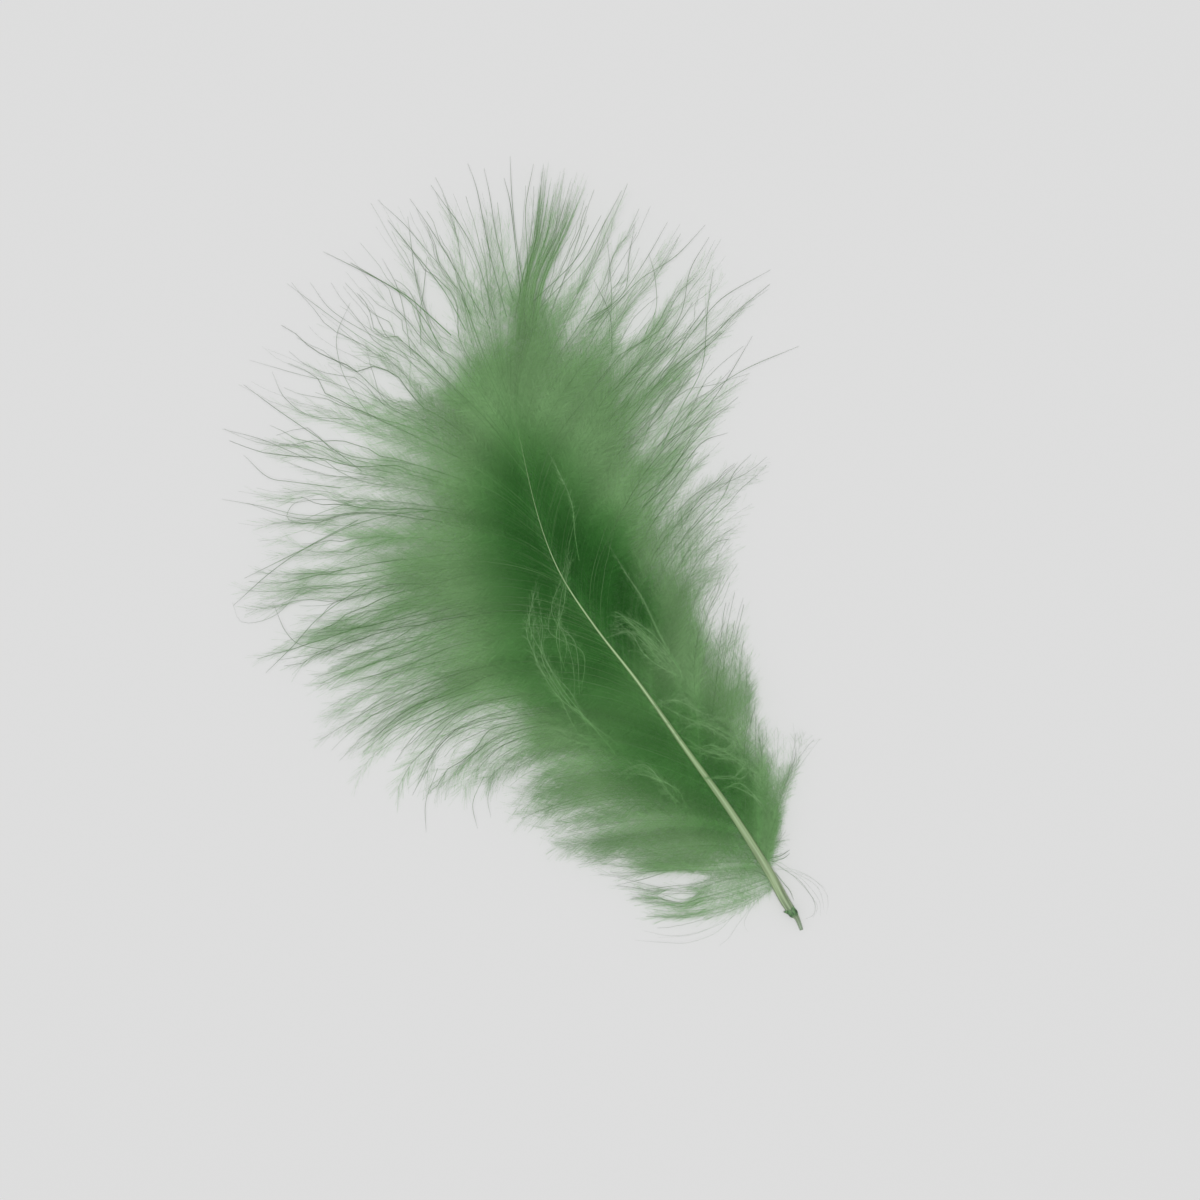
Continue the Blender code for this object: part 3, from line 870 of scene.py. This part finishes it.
QUILL_HAIRS = (
    (0.018, (-1.2, 11.6), (0.4, 9.4), (2, 7.2), (2.9, 4.7), (3.2, 2.8), (2.5, 1.3), (1, 1)),
    (0.012, (-1.1, 11.2), (0.9, 8.8), (2.2, 6.4), (3.1, 4), (3.4, 2.2), (2.2, 0.9)),
    (0.008, (-1.2, 11.8), (0.7, 10), (2.6, 7), (3.7, 4.4), (4, 2.6), (3.4, 0.8)),
    (0.008, (2, 8.6), (4.2, 6.6), (5.4, 4), (5.2, 2.2), (4.4, 0.6)),
    (0.04, (-1.2, 9.6), (-0.5, 7.6), (0.1, 6), (0.2, 4.4)),
    (0.01, (-1.3, 10.4), (1.5, 8.7), (4, 6), (4.6, 3.8), (4.2, 1.4)),
    (0.01, (-1.3, 10), (1.2, 9.4), (3.4, 7.6), (5.6, 4.6)),
    (0.05, (-1.3, 12), (0.4, 11.8), (2.1, 12.2)),
    (0.04, (-1.2, 11.4), (0.8, 11.3), (1.9, 11.7)),
    (0.009, (-2.7, 7.4), (-4.6, 6.6), (-7, 5), (-8.4, 3.4), (-8.2, 2)),
    (0.009, (-3.4, 7.2), (-6.4, 5.6), (-9.4, 3.6), (-11.4, 2), (-13.3, 1.3)),
    (0.011, (-9, 5.6), (-13, 3.6), (-17.5, 3.4), (-20.5, 4.3), (-25.6, 6.4)),
    (0.008, (-7, 5.8), (-12, 4.6), (-17, 4.4), (-22, 5.6)),
    (0.008, (-11, 5), (-15.5, 4.4), (-20, 5.2), (-24, 7.4)),
    (0.02, (-6, 10.2), (-10, 11.4), (-14, 11.9), (-18, 12.8), (-22.5, 13.6)),
    (0.035, (-9, 13.4), (-15, 14.9), (-21, 15.1), (-25.3, 15.5)),
    (0.05, (-2.8, 9.4), (-3.4, 10.2), (-4.3, 10.9)),
    (0.06, (-3.2, 10.8), (-3.8, 12), (-4.6, 12.3)),
    (0.05, (-3.6, 12.6), (-4.3, 13.4), (-4.9, 14.1)),
    (0.012, (-0.4, 11.8), (1.2, 14.5), (2.6, 18), (4.4, 21.5), (7.2, 24.4), (8.9, 31)),
    (0.012, (2, 16.4), (4.4, 20.5), (7, 23.6), (12.2, 27.4)),
)

# %% [markdown]
# ## Hairs through their points
# A smooth curve runs through the points of each row. The hair gets thinner towards its tip, and sinks a
# little on the way there. Each one lies a little higher or lower than the next, so that they can cross.

# %% Loose hair pieces
HAIR_HEIGHT = (3.2, 1.6)  # above the table, at a loose hair's root and at its tip
QUILL_HAIR_HEIGHT = (1.3, 0.7)
HEIGHT_VARIES = 0.5
TONES_OF_HAIRS = (0.03, 0.6)  # loose hairs look dark against the table
HAIR_TAPER = 0.6  # how much of its thickness a hair loses towards its tip
CURVE_STEPS = 16  # between two points of a row


def through(points, count):
    """A smooth curve through a few points, as count points evenly apart."""
    points = np.array(points, float)
    ends = np.concatenate((2 * points[:1] - points[1:2], points, 2 * points[-1:] - points[-2:-1]))
    t = np.linspace(0.0, 1.0, CURVE_STEPS, endpoint=False)[:, None]
    runs = []
    for a, b, c, d in zip(ends, ends[1:], ends[2:], ends[3:]):
        quadratic = 2 * a - 5 * b + 4 * c - d
        cubic = 3 * b - a - 3 * c + d
        runs.append(0.5 * (2 * b + (c - a) * t + quadratic * t**2 + cubic * t**3))
    fine = np.concatenate((*runs, points[-1:]))
    gone = np.concatenate(([0.0], np.cumsum(np.linalg.norm(np.diff(fine, axis=0), axis=1))))
    even = np.linspace(0.0, gone[-1], count)
    return np.stack([np.interp(even, gone, column) for column in fine.T], -1)


def hair_paths(rows, high, low):
    """The middle lines of loose hairs, falling from one height to another."""
    flat = np.array([through(row[1:], BARB_POINTS) for row in rows])
    fall = high + (low - high) * ease(share, 0.1, 0.9)
    height = fall[None, :] + chance.uniform(-HEIGHT_VARIES, HEIGHT_VARIES, len(rows))[:, None]
    return np.concatenate((flat, height[..., None]), -1)


def hair_piece(name, rows, high, low):
    """One piece of all the hairs in a table."""
    paths = hair_paths(rows, high, low)
    thick = np.array([row[0] for row in rows])
    radii = thick[:, None] * (1 - HAIR_TAPER * ease(share, 0.7, 1.0))[None, :]
    paleness = np.tile(DYE_OF_BARB[0] + DYE_OF_BARB[1] * share, (len(rows), 1))
    own = chance.uniform(*TONES_OF_HAIRS, len(rows))
    return mesh_piece(name, *tubes(paths, radii, paleness, own))


loose = [
    hair_piece("loose_top_hairs", TOP_HAIRS, *HAIR_HEIGHT),
    hair_piece("loose_left_hairs", LEFT_HAIRS, *HAIR_HEIGHT),
    hair_piece("loose_right_hairs", RIGHT_HAIRS, *HAIR_HEIGHT),
    hair_piece("hairs_by_the_quill", QUILL_HAIRS, *QUILL_HAIR_HEIGHT),
]

# %% [markdown]
# ## Wisps on top
# A few downy barbs were folded back and lie over the dark middle, whose deep green is painted shade; their
# barbules get less of that painted shade, so they look light against it. At the tip of the feather some
# forty barbs with short barbules stand together as one tuft. Both follow the line of the shaft in height,
# and both are made as loose hairs with their barbules on.

# %% Wisps and tuft
WISPS = (  # how many hairs, how far they spread, barbule length, then points across and along
    (5, 2, 1.5, (-19.5, 37), (-22.6, 42), (-24.6, 47), (-25.2, 53), (-24.4, 59), (-22.4, 64.5)),
    (3, 1.7, 1.3, (-23.4, 50), (-22, 55), (-20.6, 60), (-18.2, 65), (-15.6, 68.5)),
    (3, 1.7, 1.3, (-21.4, 46), (-20.2, 51), (-20.6, 57), (-19.4, 62)),
    (1, 0.2, 1, (-15, 66), (-14.3, 70), (-13.4, 75), (-13.6, 80), (-15, 86)),
    (6, 1.8, 1.7, (-5.6, 41), (-7, 46), (-8.6, 51), (-11.4, 53.6), (-14.4, 53.6)),
    (4, 1.6, 1.6, (-7, 46.5), (-8.8, 52.4), (-11, 55.4), (-13.4, 55.6)),
    (2, 0.2, 0.8, (-5.4, 45), (-6.6, 51), (-7.6, 57), (-8.8, 62.5), (-10, 67.5)),
    (4, 1.6, 1.7, (-11, 40.5), (-8, 39.5), (-5, 36.5), (-2, 35)),
    (3, 1.6, 1.6, (-8.4, 33.5), (-4.6, 31.6), (-1.4, 31), (1.4, 33.5)),
    (4, 1.6, 1.6, (-11.2, 24), (-12.8, 28), (-15.6, 31), (-19, 32.4)),
    (2, 1.2, 1.6, (-6.8, 27.5), (-3.6, 26.4), (-0.8, 25.6), (1.6, 26.8)),
    (4, 1.8, 1.5, (-19.6, 38), (-23.2, 39.6), (-27, 42.4), (-31, 44)),
    (4, 1.8, 1.5, (-9.6, 36.5), (-6, 36), (-2.4, 33.4), (0.6, 29.4), (2.4, 25)),
    (3, 1.4, 1.5, (-7.4, 31.5), (-4, 30.4), (-1, 27.6), (1, 24), (2.4, 20.4)),
    (2, 1, 1.5, (-5.2, 24.5), (-2.6, 24), (-0.4, 21.6), (0.8, 18.2)),
)
WISP_RADIUS, WISP_TAPER = 0.028, 0.75
WISP_DYE = 0.3, 0.6  # at a hair's root, and how much paler it is at its tip
TONES_OF_WISPS = (0.3, 0.95)
WISP_DOWNY, WISP_SLEEK = 0.97, 0.5
WISPS_OVER_SHAFT = (1.3, 0.9)  # height over the middle of the shaft, at a hair's root and at its tip
TUFT_OVER_SHAFT = (-0.8, -0.4)
TUFT_HAIRS = 44
TUFT_RADII, TUFT_BARBULE = (0.015, 0.042), 1.2
TUFT_CROWD = 1.35  # above 1, the hairs stand closer at the tuft's left side
TUFT_UNEVEN = 0.22
TUFT_ENDS = (-1.2, 1.9)  # how much shorter or longer a hair of the tuft may be
TUFT_LEFT = ((-13.5, 102.0), (-9.6, 110.3), (-5.6, 116.8), (-1.6, 125.6))
TUFT_RIGHT = ((-10.5, 102.0), (-6.0, 109.6), (0.0, 115.8), (5.2, 121.4))


def tuft_rows():
    """Rows like those of the loose hairs, fanned out from the tuft's left side to its right."""
    rows = []
    for i in range(TUFT_HAIRS):
        at = (i / (TUFT_HAIRS - 1)) ** TUFT_CROWD
        points = np.array(TUFT_LEFT) * (1 - at) + np.array(TUFT_RIGHT) * at
        points = points + chance.normal(0.0, TUFT_UNEVEN, points.shape)
        points[-1] += chance.uniform(*TUFT_ENDS) * unit(points[-1] - points[-2])
        rows.append((chance.uniform(*TUFT_RADII), *points))
    return rows


def wisp_rows():
    """Rows like those of the loose hairs, a few for each wisp, and how long their barbules are."""
    rows, lengths = [], []
    for count, spread, length, *points in WISPS:
        points = np.array(points)
        for _ in range(count):
            own = points + chance.normal(0.0, spread / 2, points.shape)
            rows.append((WISP_RADIUS, *own))
            lengths.append(length)
    return rows, np.array(lengths)


def downy_hairs(name, rows, lengths, per_mm, over_shaft, lean, lift):
    """Loose hairs with their barbules, as high over the shaft as told: a piece of hairs and one of down."""
    paths = hair_paths(rows, *over_shaft)
    paths[..., 2] += shaft_at(paths[..., 1].ravel())[:, 2].reshape(paths.shape[:2])
    own = chance.uniform(*TONES_OF_WISPS, len(rows))
    radii = np.array([row[0] for row in rows])[:, None] * (1 - WISP_TAPER * ease(share, 0.6, 1.0))[None, :]
    paleness = np.tile(WISP_DYE[0] + WISP_DYE[1] * share, (len(rows), 1))
    hairs = mesh_piece(name + "_hairs", *tubes(paths, radii, paleness, own))
    downy, sleek = np.full(len(rows), WISP_DOWNY), np.full(len(rows), WISP_SLEEK)
    points, corners = barbules(paths, own, per_mm, lengths, downy, sleek, lean, lift)
    return hairs, slivers(name + "_down", points, corners)


# The wisps' lift takes some of the painted shade off their barbules.
wisps = downy_hairs("wisp", *wisp_rows(), 15.0, WISPS_OVER_SHAFT, lean=42.0, lift=0.11)
tuft_lengths = np.full(TUFT_HAIRS, TUFT_BARBULE)
tuft = downy_hairs("tuft", tuft_rows(), tuft_lengths, 16.0, TUFT_OVER_SHAFT, lean=20.0, lift=0.0)
loose.append(tuft[0])
down += [*wisps, tuft[1]]

# %% [markdown]
# ## The quill and shaft
# The quill is a tube of keratin that thins into the shaft. A curve with a bevel could make it, but a ring of
# twelve points that is extruded from station to station can be a little flatter than it is wide, as a
# quill is. Each new ring is turned and scaled to the shaft there. The map runs around the quill and along
# it, so that fine streaks can follow its length.

# %% Quill and shaft
QUILL_SIDES = 12
FLATTENED = 0.86  # the quill's height as a share of its width
STATIONS = np.concatenate((np.linspace(-0.4, 6.0, 17)[:-1], np.linspace(6.0, 98.0, 93)))


def ring_frame(along):
    """The matrix that takes a circle of radius 1 to the shaft's outline at a distance along the feather."""
    row = shaft_at(along)[0]
    ahead = Vector((shaft_at(along + 0.3) - shaft_at(along - 0.3))[0, :3]).normalized()
    across = ahead.cross(Vector((0, 0, 1))).normalized()
    up = across.cross(ahead)
    turn = Matrix((across, up, ahead)).transposed().to_4x4()
    radius = row[3] / 2 * MM
    size = Matrix.Diagonal((radius, radius * FLATTENED, 1.0, 1.0))
    return Matrix.Translation(Vector(place(row[:3]))) @ turn @ size


def closed_tube(frames):
    """A circle extruded from frame to frame, and closed at both ends."""
    shape = bmesh.new()
    bmesh.ops.create_circle(shape, segments=QUILL_SIDES, radius=1.0, cap_ends=True)
    bmesh.ops.transform(shape, matrix=frames[0], verts=shape.verts)
    rim = list(shape.edges)
    for before, after in zip(frames, frames[1:]):
        grown = bmesh.ops.extrude_edge_only(shape, edges=rim)["geom"]
        new_points = [item for item in grown if isinstance(item, bmesh.types.BMVert)]
        bmesh.ops.transform(shape, matrix=after @ before.inverted(), verts=new_points)
        new_edges = [item for item in grown if isinstance(item, bmesh.types.BMEdge)]
        rim = [edge for edge in new_edges if all(end in new_points for end in edge.verts)]
    bmesh.ops.holes_fill(shape, edges=rim, sides=0)
    bmesh.ops.recalc_face_normals(shape, faces=shape.faces)
    shape.verts.index_update()
    return shape


CAP_PLACES, CAP_RADIUS = (0.02, 0.98), 0.01  # where on the map the two closed ends of a tube lie


def map_tube(shape, frames, heights):
    """Lay a tube's faces out on its map: around it across, and along it up."""
    layer = shape.loops.layers.uv.new(DYE_AND_SHADE_MAP)
    shape.verts.ensure_lookup_table()
    angles = []
    for point in shape.verts:
        local = frames[point.index // QUILL_SIDES].inverted() @ point.co
        angles.append(math.atan2(local.y, local.x) / (2 * math.pi) % 1.0)
    for face in shape.faces:
        around = [angles[loop.vert.index] for loop in face.loops]
        rows = [loop.vert.index // QUILL_SIDES for loop in face.loops]
        crosses = max(around) - min(around) > 0.5
        for loop, at, row in zip(face.loops, around, rows):
            if len(face.loops) > 4:
                middle = Vector((0.5, CAP_PLACES[0] if row == 0 else CAP_PLACES[1]))
                turn = at * 2 * math.pi
                place_there = middle + CAP_RADIUS * Vector((math.cos(turn), math.sin(turn)))
            else:
                turned = at + 1.0 if crosses and at < 0.5 else at
                place_there = (turned * QUILL_SIDES / (QUILL_SIDES + 1), heights[row])
            loop[layer].uv = place_there


def finished_piece(name, shape):
    """The object made of a shape."""
    mesh = bpy.data.meshes.new(name)
    shape.to_mesh(mesh)
    shape.free()
    mesh.shade_smooth()
    piece = bpy.data.objects.new(name, mesh)
    bpy.context.scene.collection.objects.link(piece)
    print(f"{name}: {len(mesh.polygons)} faces")
    return piece


frames = [ring_frame(along) for along in STATIONS]
shape = closed_tube(frames)
map_tube(shape, frames, (STATIONS - STATIONS[0]) / np.ptp(STATIONS))
quill = finished_piece("quill_and_shaft", shape)

# %% [markdown]
# ## The torn sheath
# Just above the tip a rag of the dark sheath that the feather grew in still clings round the quill. It is a
# short sleeve, extruded as the quill is. Its rim is torn, so the points of its rings are pushed in and out
# and up and down at random, which looks more like a rag than a cut-out pattern would.

# %% Sheath
SHEATH_RINGS = (  # along, size against the quill there, how uneven
    (1.9, 0.9, 0),
    (2.1, 1.12, 0.06),
    (2.5, 1.18, 0.08),
    (2.9, 1.16, 0.1),
    (3.3, 1.1, 0.14),
    (3.5, 0.9, 0),
)
TORN_ALONG = 2.2  # how much more uneven the rag is along the quill than across it
FLAP = Vector((-0.35, 0.25, 0.1)) * MM  # how far one corner of the rag stands off to the left

frames = [ring_frame(row[0]) @ Matrix.Diagonal((row[1], row[1], 1.0, 1.0)) for row in SHEATH_RINGS]
shape = closed_tube(frames)
map_tube(shape, frames, np.linspace(0.0, 1.0, len(frames)))
for point in shape.verts:
    uneven = SHEATH_RINGS[point.index // QUILL_SIDES][2] * MM
    point.co += Vector(chance.uniform(-1.0, 1.0, 3) * (uneven, TORN_ALONG * uneven, uneven))
shape.verts.ensure_lookup_table()
torn_rim = [point for point in shape.verts if point.index // QUILL_SIDES == len(SHEATH_RINGS) - 2]
min(torn_rim, key=lambda point: point.co.x).co += FLAP
sheath = finished_piece("torn_sheath", shape)

# %% [markdown]
# ## The finish of the down
# Down is matt. A picture could colour it, but the map is enough: a ramp over it goes from deep green, which
# is painted shade where the down is heaped, to grey-green, and a small shift makes each barb lighter or
# darker than its neighbour. That shift is a node group, because the barbules and the barbs themselves both
# use it.

# %% Dyed down
# Low paleness gives the deep green that is painted shade of the heaped down.
DOWN_RAMP = (  # paleness, then the colour in linear light
    (0.0, (0.030, 0.162, 0.024)),
    (0.15, (0.068, 0.250, 0.052)),
    (0.3, (0.155, 0.380, 0.118)),
    (0.5, (0.300, 0.530, 0.240)),
    (1.0, (0.270, 0.460, 0.225)),
)
BARB_RAMP = (
    (0.0, (0.150, 0.340, 0.110)),
    (0.35, (0.200, 0.370, 0.160)),
    (0.6, (0.170, 0.285, 0.135)),
    (1.0, (0.165, 0.245, 0.140)),
)
TONE_BY_BARB = (0.76, 1.24)  # from the darkest barb to the lightest


def new_finish(name, roughness):
    """A material, its nodes and links, and the shader that makes its surface."""
    finish = bpy.data.materials.new(name)
    finish.use_nodes = True
    nodes, links = finish.node_tree.nodes, finish.node_tree.links
    shader = nodes["Principled BSDF"]
    shader.inputs["Roughness"].default_value = roughness
    return finish, nodes, links, shader


def fill_ramp(ramp, colours):
    """Give a colour ramp its stops."""
    for i, (at, colour) in enumerate(colours):
        stop = ramp.color_ramp.elements[i] if i < 2 else ramp.color_ramp.elements.new(at)
        stop.position = at
        stop.color = (*colour, 1.0)


def wire(links, wires):
    """Join nodes: each wire is a node, its output, the next node and its input."""
    for source, output, target, entry in wires:
        links.new(source.outputs[output], target.inputs[entry])


def by_barb():
    """A shader group that shifts a colour lighter or darker for each barb."""
    group = bpy.data.node_groups.new("shade_by_barb", "ShaderNodeTree")
    group.interface.new_socket("Colour", in_out="INPUT", socket_type="NodeSocketColor")
    group.interface.new_socket("Colour", in_out="OUTPUT", socket_type="NodeSocketColor")
    inside = group.nodes
    taken, given = inside.new("NodeGroupInput"), inside.new("NodeGroupOutput")
    where, split = inside.new("ShaderNodeUVMap"), inside.new("ShaderNodeSeparateXYZ")
    spread, tone = inside.new("ShaderNodeMapRange"), inside.new("ShaderNodeHueSaturation")
    where.uv_map = DYE_AND_SHADE_MAP
    spread.inputs["To Min"].default_value, spread.inputs["To Max"].default_value = TONE_BY_BARB
    wire(group.links, (
        (where, "UV", split, "Vector"),
        (split, "Y", spread, "Value"),
        (spread, "Result", tone, "Value"),
        (taken, "Colour", tone, "Color"),
        (tone, "Color", given, "Colour"),
    ))
    return group


def dyed(name, colours, roughness, shade):
    """A material whose colour is a ramp over the map, which for the down holds painted shade, shifted
    lighter or darker by barb.
    """
    finish, nodes, links, shader = new_finish(name, roughness)
    shader.inputs["Specular IOR Level"].default_value = 0.2
    where, split = nodes.new("ShaderNodeUVMap"), nodes.new("ShaderNodeSeparateXYZ")
    ramp, shaded = nodes.new("ShaderNodeValToRGB"), nodes.new("ShaderNodeGroup")
    where.uv_map = DYE_AND_SHADE_MAP
    shaded.node_tree = shade
    fill_ramp(ramp, colours)
    wire(links, (
        (where, "UV", split, "Vector"),
        (split, "X", ramp, "Fac"),
        (ramp, "Color", shaded, "Colour"),
        (shaded, "Colour", shader, "Base Color"),
    ))
    return finish


shade = by_barb()
down_finish = dyed("dyed_down", DOWN_RAMP, 0.85, shade)
barb_finish = dyed("barb_keratin", BARB_RAMP, 0.7, shade)
print("finishes:", down_finish.name, "and", barb_finish.name)

# %% [markdown]
# ## The finish of the quill
# The quill is smooth and a little glossy. It is palest low down, its broken tip is greyer, and up the shaft
# it takes on the green of the down. Fine streaks of dye run along it. They are noise, which the map draws
# out along the quill, and they get weaker further up, where the shaft is too thin to show them. The sheath
# is the same stuff, dark and mottled.

# %% Dyed keratin
QUILL_RAMP = (  # up the map, then the colour in linear light
    (0.0, (0.330, 0.420, 0.300)),
    (0.025, (0.260, 0.350, 0.210)),
    (0.07, (0.320, 0.425, 0.235)),
    (0.3, (0.290, 0.430, 0.200)),
    (0.62, (0.320, 0.480, 0.220)),
    (1.0, (0.180, 0.350, 0.130)),
)
SHEATH_RAMP = (
    (0.0, (0.170, 0.280, 0.140)),
    (0.45, (0.070, 0.160, 0.060)),
    (1.0, (0.140, 0.260, 0.115)),
)
NOISE_USED = (0.35, 0.65)  # the middle of the noise, where nearly all of it lies
STREAKS_FADE = (0.06, 0.16)  # from where to where up the map


def streaks():
    """A shader group that gives a tone, from low to high, in streaks drawn out along a piece."""
    group = bpy.data.node_groups.new("streaks_of_dye", "ShaderNodeTree")
    group.interface.new_socket("Stretch", in_out="INPUT", socket_type="NodeSocketVector")
    group.interface.new_socket("Low", in_out="INPUT", socket_type="NodeSocketFloat")
    group.interface.new_socket("High", in_out="INPUT", socket_type="NodeSocketFloat")
    group.interface.new_socket("Tone", in_out="OUTPUT", socket_type="NodeSocketFloat")
    inside = group.nodes
    taken, given = inside.new("NodeGroupInput"), inside.new("NodeGroupOutput")
    where, drawn = inside.new("ShaderNodeUVMap"), inside.new("ShaderNodeMapping")
    noise, spread = inside.new("ShaderNodeTexNoise"), inside.new("ShaderNodeMapRange")
    where.uv_map = DYE_AND_SHADE_MAP
    noise.inputs["Scale"].default_value = 1.0
    noise.inputs["Detail"].default_value = 3.0
    spread.inputs["From Min"].default_value, spread.inputs["From Max"].default_value = NOISE_USED
    wire(group.links, (
        (where, "UV", drawn, "Vector"),
        (taken, "Stretch", drawn, "Scale"),
        (drawn, "Vector", noise, "Vector"),
        (noise, "Fac", spread, "Value"),
        (taken, "Low", spread, "To Min"),
        (taken, "High", spread, "To Max"),
        (spread, "Result", given, "Tone"),
    ))
    return group


def streaked(name, colours, tones, roughness, stretch, low, high, fade_to):
    """A ramp up the map, streaked lighter and darker, and less so further up."""
    finish, nodes, links, shader = new_finish(name, roughness)
    where, split = nodes.new("ShaderNodeUVMap"), nodes.new("ShaderNodeSeparateXYZ")
    ramp, streak = nodes.new("ShaderNodeValToRGB"), nodes.new("ShaderNodeGroup")
    fade, faded = nodes.new("ShaderNodeMapRange"), nodes.new("ShaderNodeMix")
    toned = nodes.new("ShaderNodeHueSaturation")
    where.uv_map = DYE_AND_SHADE_MAP
    streak.node_tree = tones
    streak.inputs["Stretch"].default_value = stretch
    streak.inputs["Low"].default_value = low
    streak.inputs["High"].default_value = high
    fade.inputs["From Min"].default_value, fade.inputs["From Max"].default_value = STREAKS_FADE
    fade.inputs["To Min"].default_value = 1.0
    fade.inputs["To Max"].default_value = fade_to
    faded.inputs["A"].default_value = 1.0
    fill_ramp(ramp, colours)
    wire(links, (
        (where, "UV", split, "Vector"),
        (split, "Y", ramp, "Fac"),
        (split, "Y", fade, "Value"),
        (fade, "Result", faded, "Factor"),
        (streak, "Tone", faded, "B"),
        (ramp, "Color", toned, "Color"),
        (faded, "Result", toned, "Value"),
        (toned, "Color", shader, "Base Color"),
    ))
    return finish


tones = streaks()
quill_finish = streaked(
    "quill_keratin", QUILL_RAMP, tones=tones, roughness=0.38,
    stretch=(15.0, 9.0, 1.0), low=0.35, high=1.35, fade_to=0.4,
)
sheath_finish = streaked(
    "sheath_keratin", SHEATH_RAMP, tones=tones, roughness=0.6,
    stretch=(12.0, 3.0, 1.0), low=0.4, high=1.7, fade_to=1.0,
)
print("finishes:", quill_finish.name, "and", sheath_finish.name)

for piece in down:
    piece.data.materials.append(down_finish)
for piece in (left_hairs, right_hairs, *loose):
    piece.data.materials.append(barb_finish)
quill.data.materials.append(quill_finish)
sheath.data.materials.append(sheath_finish)

# %% [markdown]
# ## The table
# The feather lies on a pale, matt sheet. The sheet is the scene's floor and no part of the feather. It lies
# a fifth of a millimetre lower, so that nothing of the feather shares its plane.

# %% Table
TABLE_SIDE = 8.0
TABLE_GAP = 0.0002
shape = bmesh.new()
bmesh.ops.create_grid(shape, x_segments=1, y_segments=1, size=TABLE_SIDE / 2)
bmesh.ops.translate(shape, vec=(0.0, 0.0, -TABLE_GAP), verts=shape.verts)
table = finished_piece("table", shape)
table_finish, _, _, table_shader = new_finish("pale_table", 0.9)
table_shader.inputs["Base Color"].default_value = (0.73, 0.73, 0.73, 1.0)
table_shader.inputs["Specular IOR Level"].default_value = 0.0
table.data.materials.append(table_finish)

# %% [markdown]
# ## The light
# The light is soft and comes from above. An even white world gives two fifths of it, and a round lamp
# straight above gives the rest, with the soft shadows under the locks. The lamp's energy is worked out from
# its height, so that the two together light the table fully, whatever share the world gives.

# %% Light
WORLD_STRENGTH = 0.42
SOFTBOX_SIZE, SOFTBOX_HEIGHT = 0.7, 2.0
SIZE_COSTS = 1.03  # a lamp of this size lights the table a little less than a point would
world = bpy.data.worlds.new("studio")
world.use_nodes = True
world.node_tree.nodes["Background"].inputs["Color"].default_value = (1.0, 1.0, 1.0, 1.0)
world.node_tree.nodes["Background"].inputs["Strength"].default_value = WORLD_STRENGTH
bpy.context.scene.world = world
softbox_data = bpy.data.lights.new("softbox", "AREA")
softbox_data.shape = "DISK"
softbox_data.size = SOFTBOX_SIZE
softbox_data.energy = (1.0 - WORLD_STRENGTH) * math.pi**2 * SOFTBOX_HEIGHT**2 * SIZE_COSTS
softbox = bpy.data.objects.new("softbox", softbox_data)
softbox.location = (0.0, 0.0, SOFTBOX_HEIGHT)
bpy.context.scene.collection.objects.link(softbox)
bpy.context.scene.view_settings.view_transform = "Standard"
print("softbox:", round(softbox_data.energy, 2), "W")

# %% [markdown]
# ## The camera
# The camera looks straight down through a long lens, so the feather looks as flat as it lies. It is turned
# until the feather leans to the left, with the quill at the lower right and the tuft at the top.

# %% Camera
LENS, SENSOR = 100.0, 36.0
VIEW_WIDTH = 189.8  # how much of the table is seen from side to side
VIEW_CENTRE = (-13.9, 59.1)  # across and along
PHOTO_TURN = math.atan2(-0.3151, 0.9489)
camera_data = bpy.data.cameras.new("camera")
camera_data.lens = LENS
camera_data.sensor_width = SENSOR
camera = bpy.data.objects.new("camera", camera_data)
bpy.context.scene.collection.objects.link(camera)
camera.location = place((*VIEW_CENTRE, VIEW_WIDTH * LENS / SENSOR))
camera.rotation_euler = (0.0, 0.0, PHOTO_TURN)
bpy.context.scene.camera = camera
print("camera height:", round(camera.location.z, 3), "m")

# %% [markdown]
# ## In place of the solid
# Every piece rides on the feather's one body and takes the place of its one solid.

# %% Finish
for piece in (left_hairs, right_hairs, *loose, *down):
    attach(piece, "root")
    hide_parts("feather")
for piece in (quill, sheath):
    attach(piece, "root")
    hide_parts("feather")
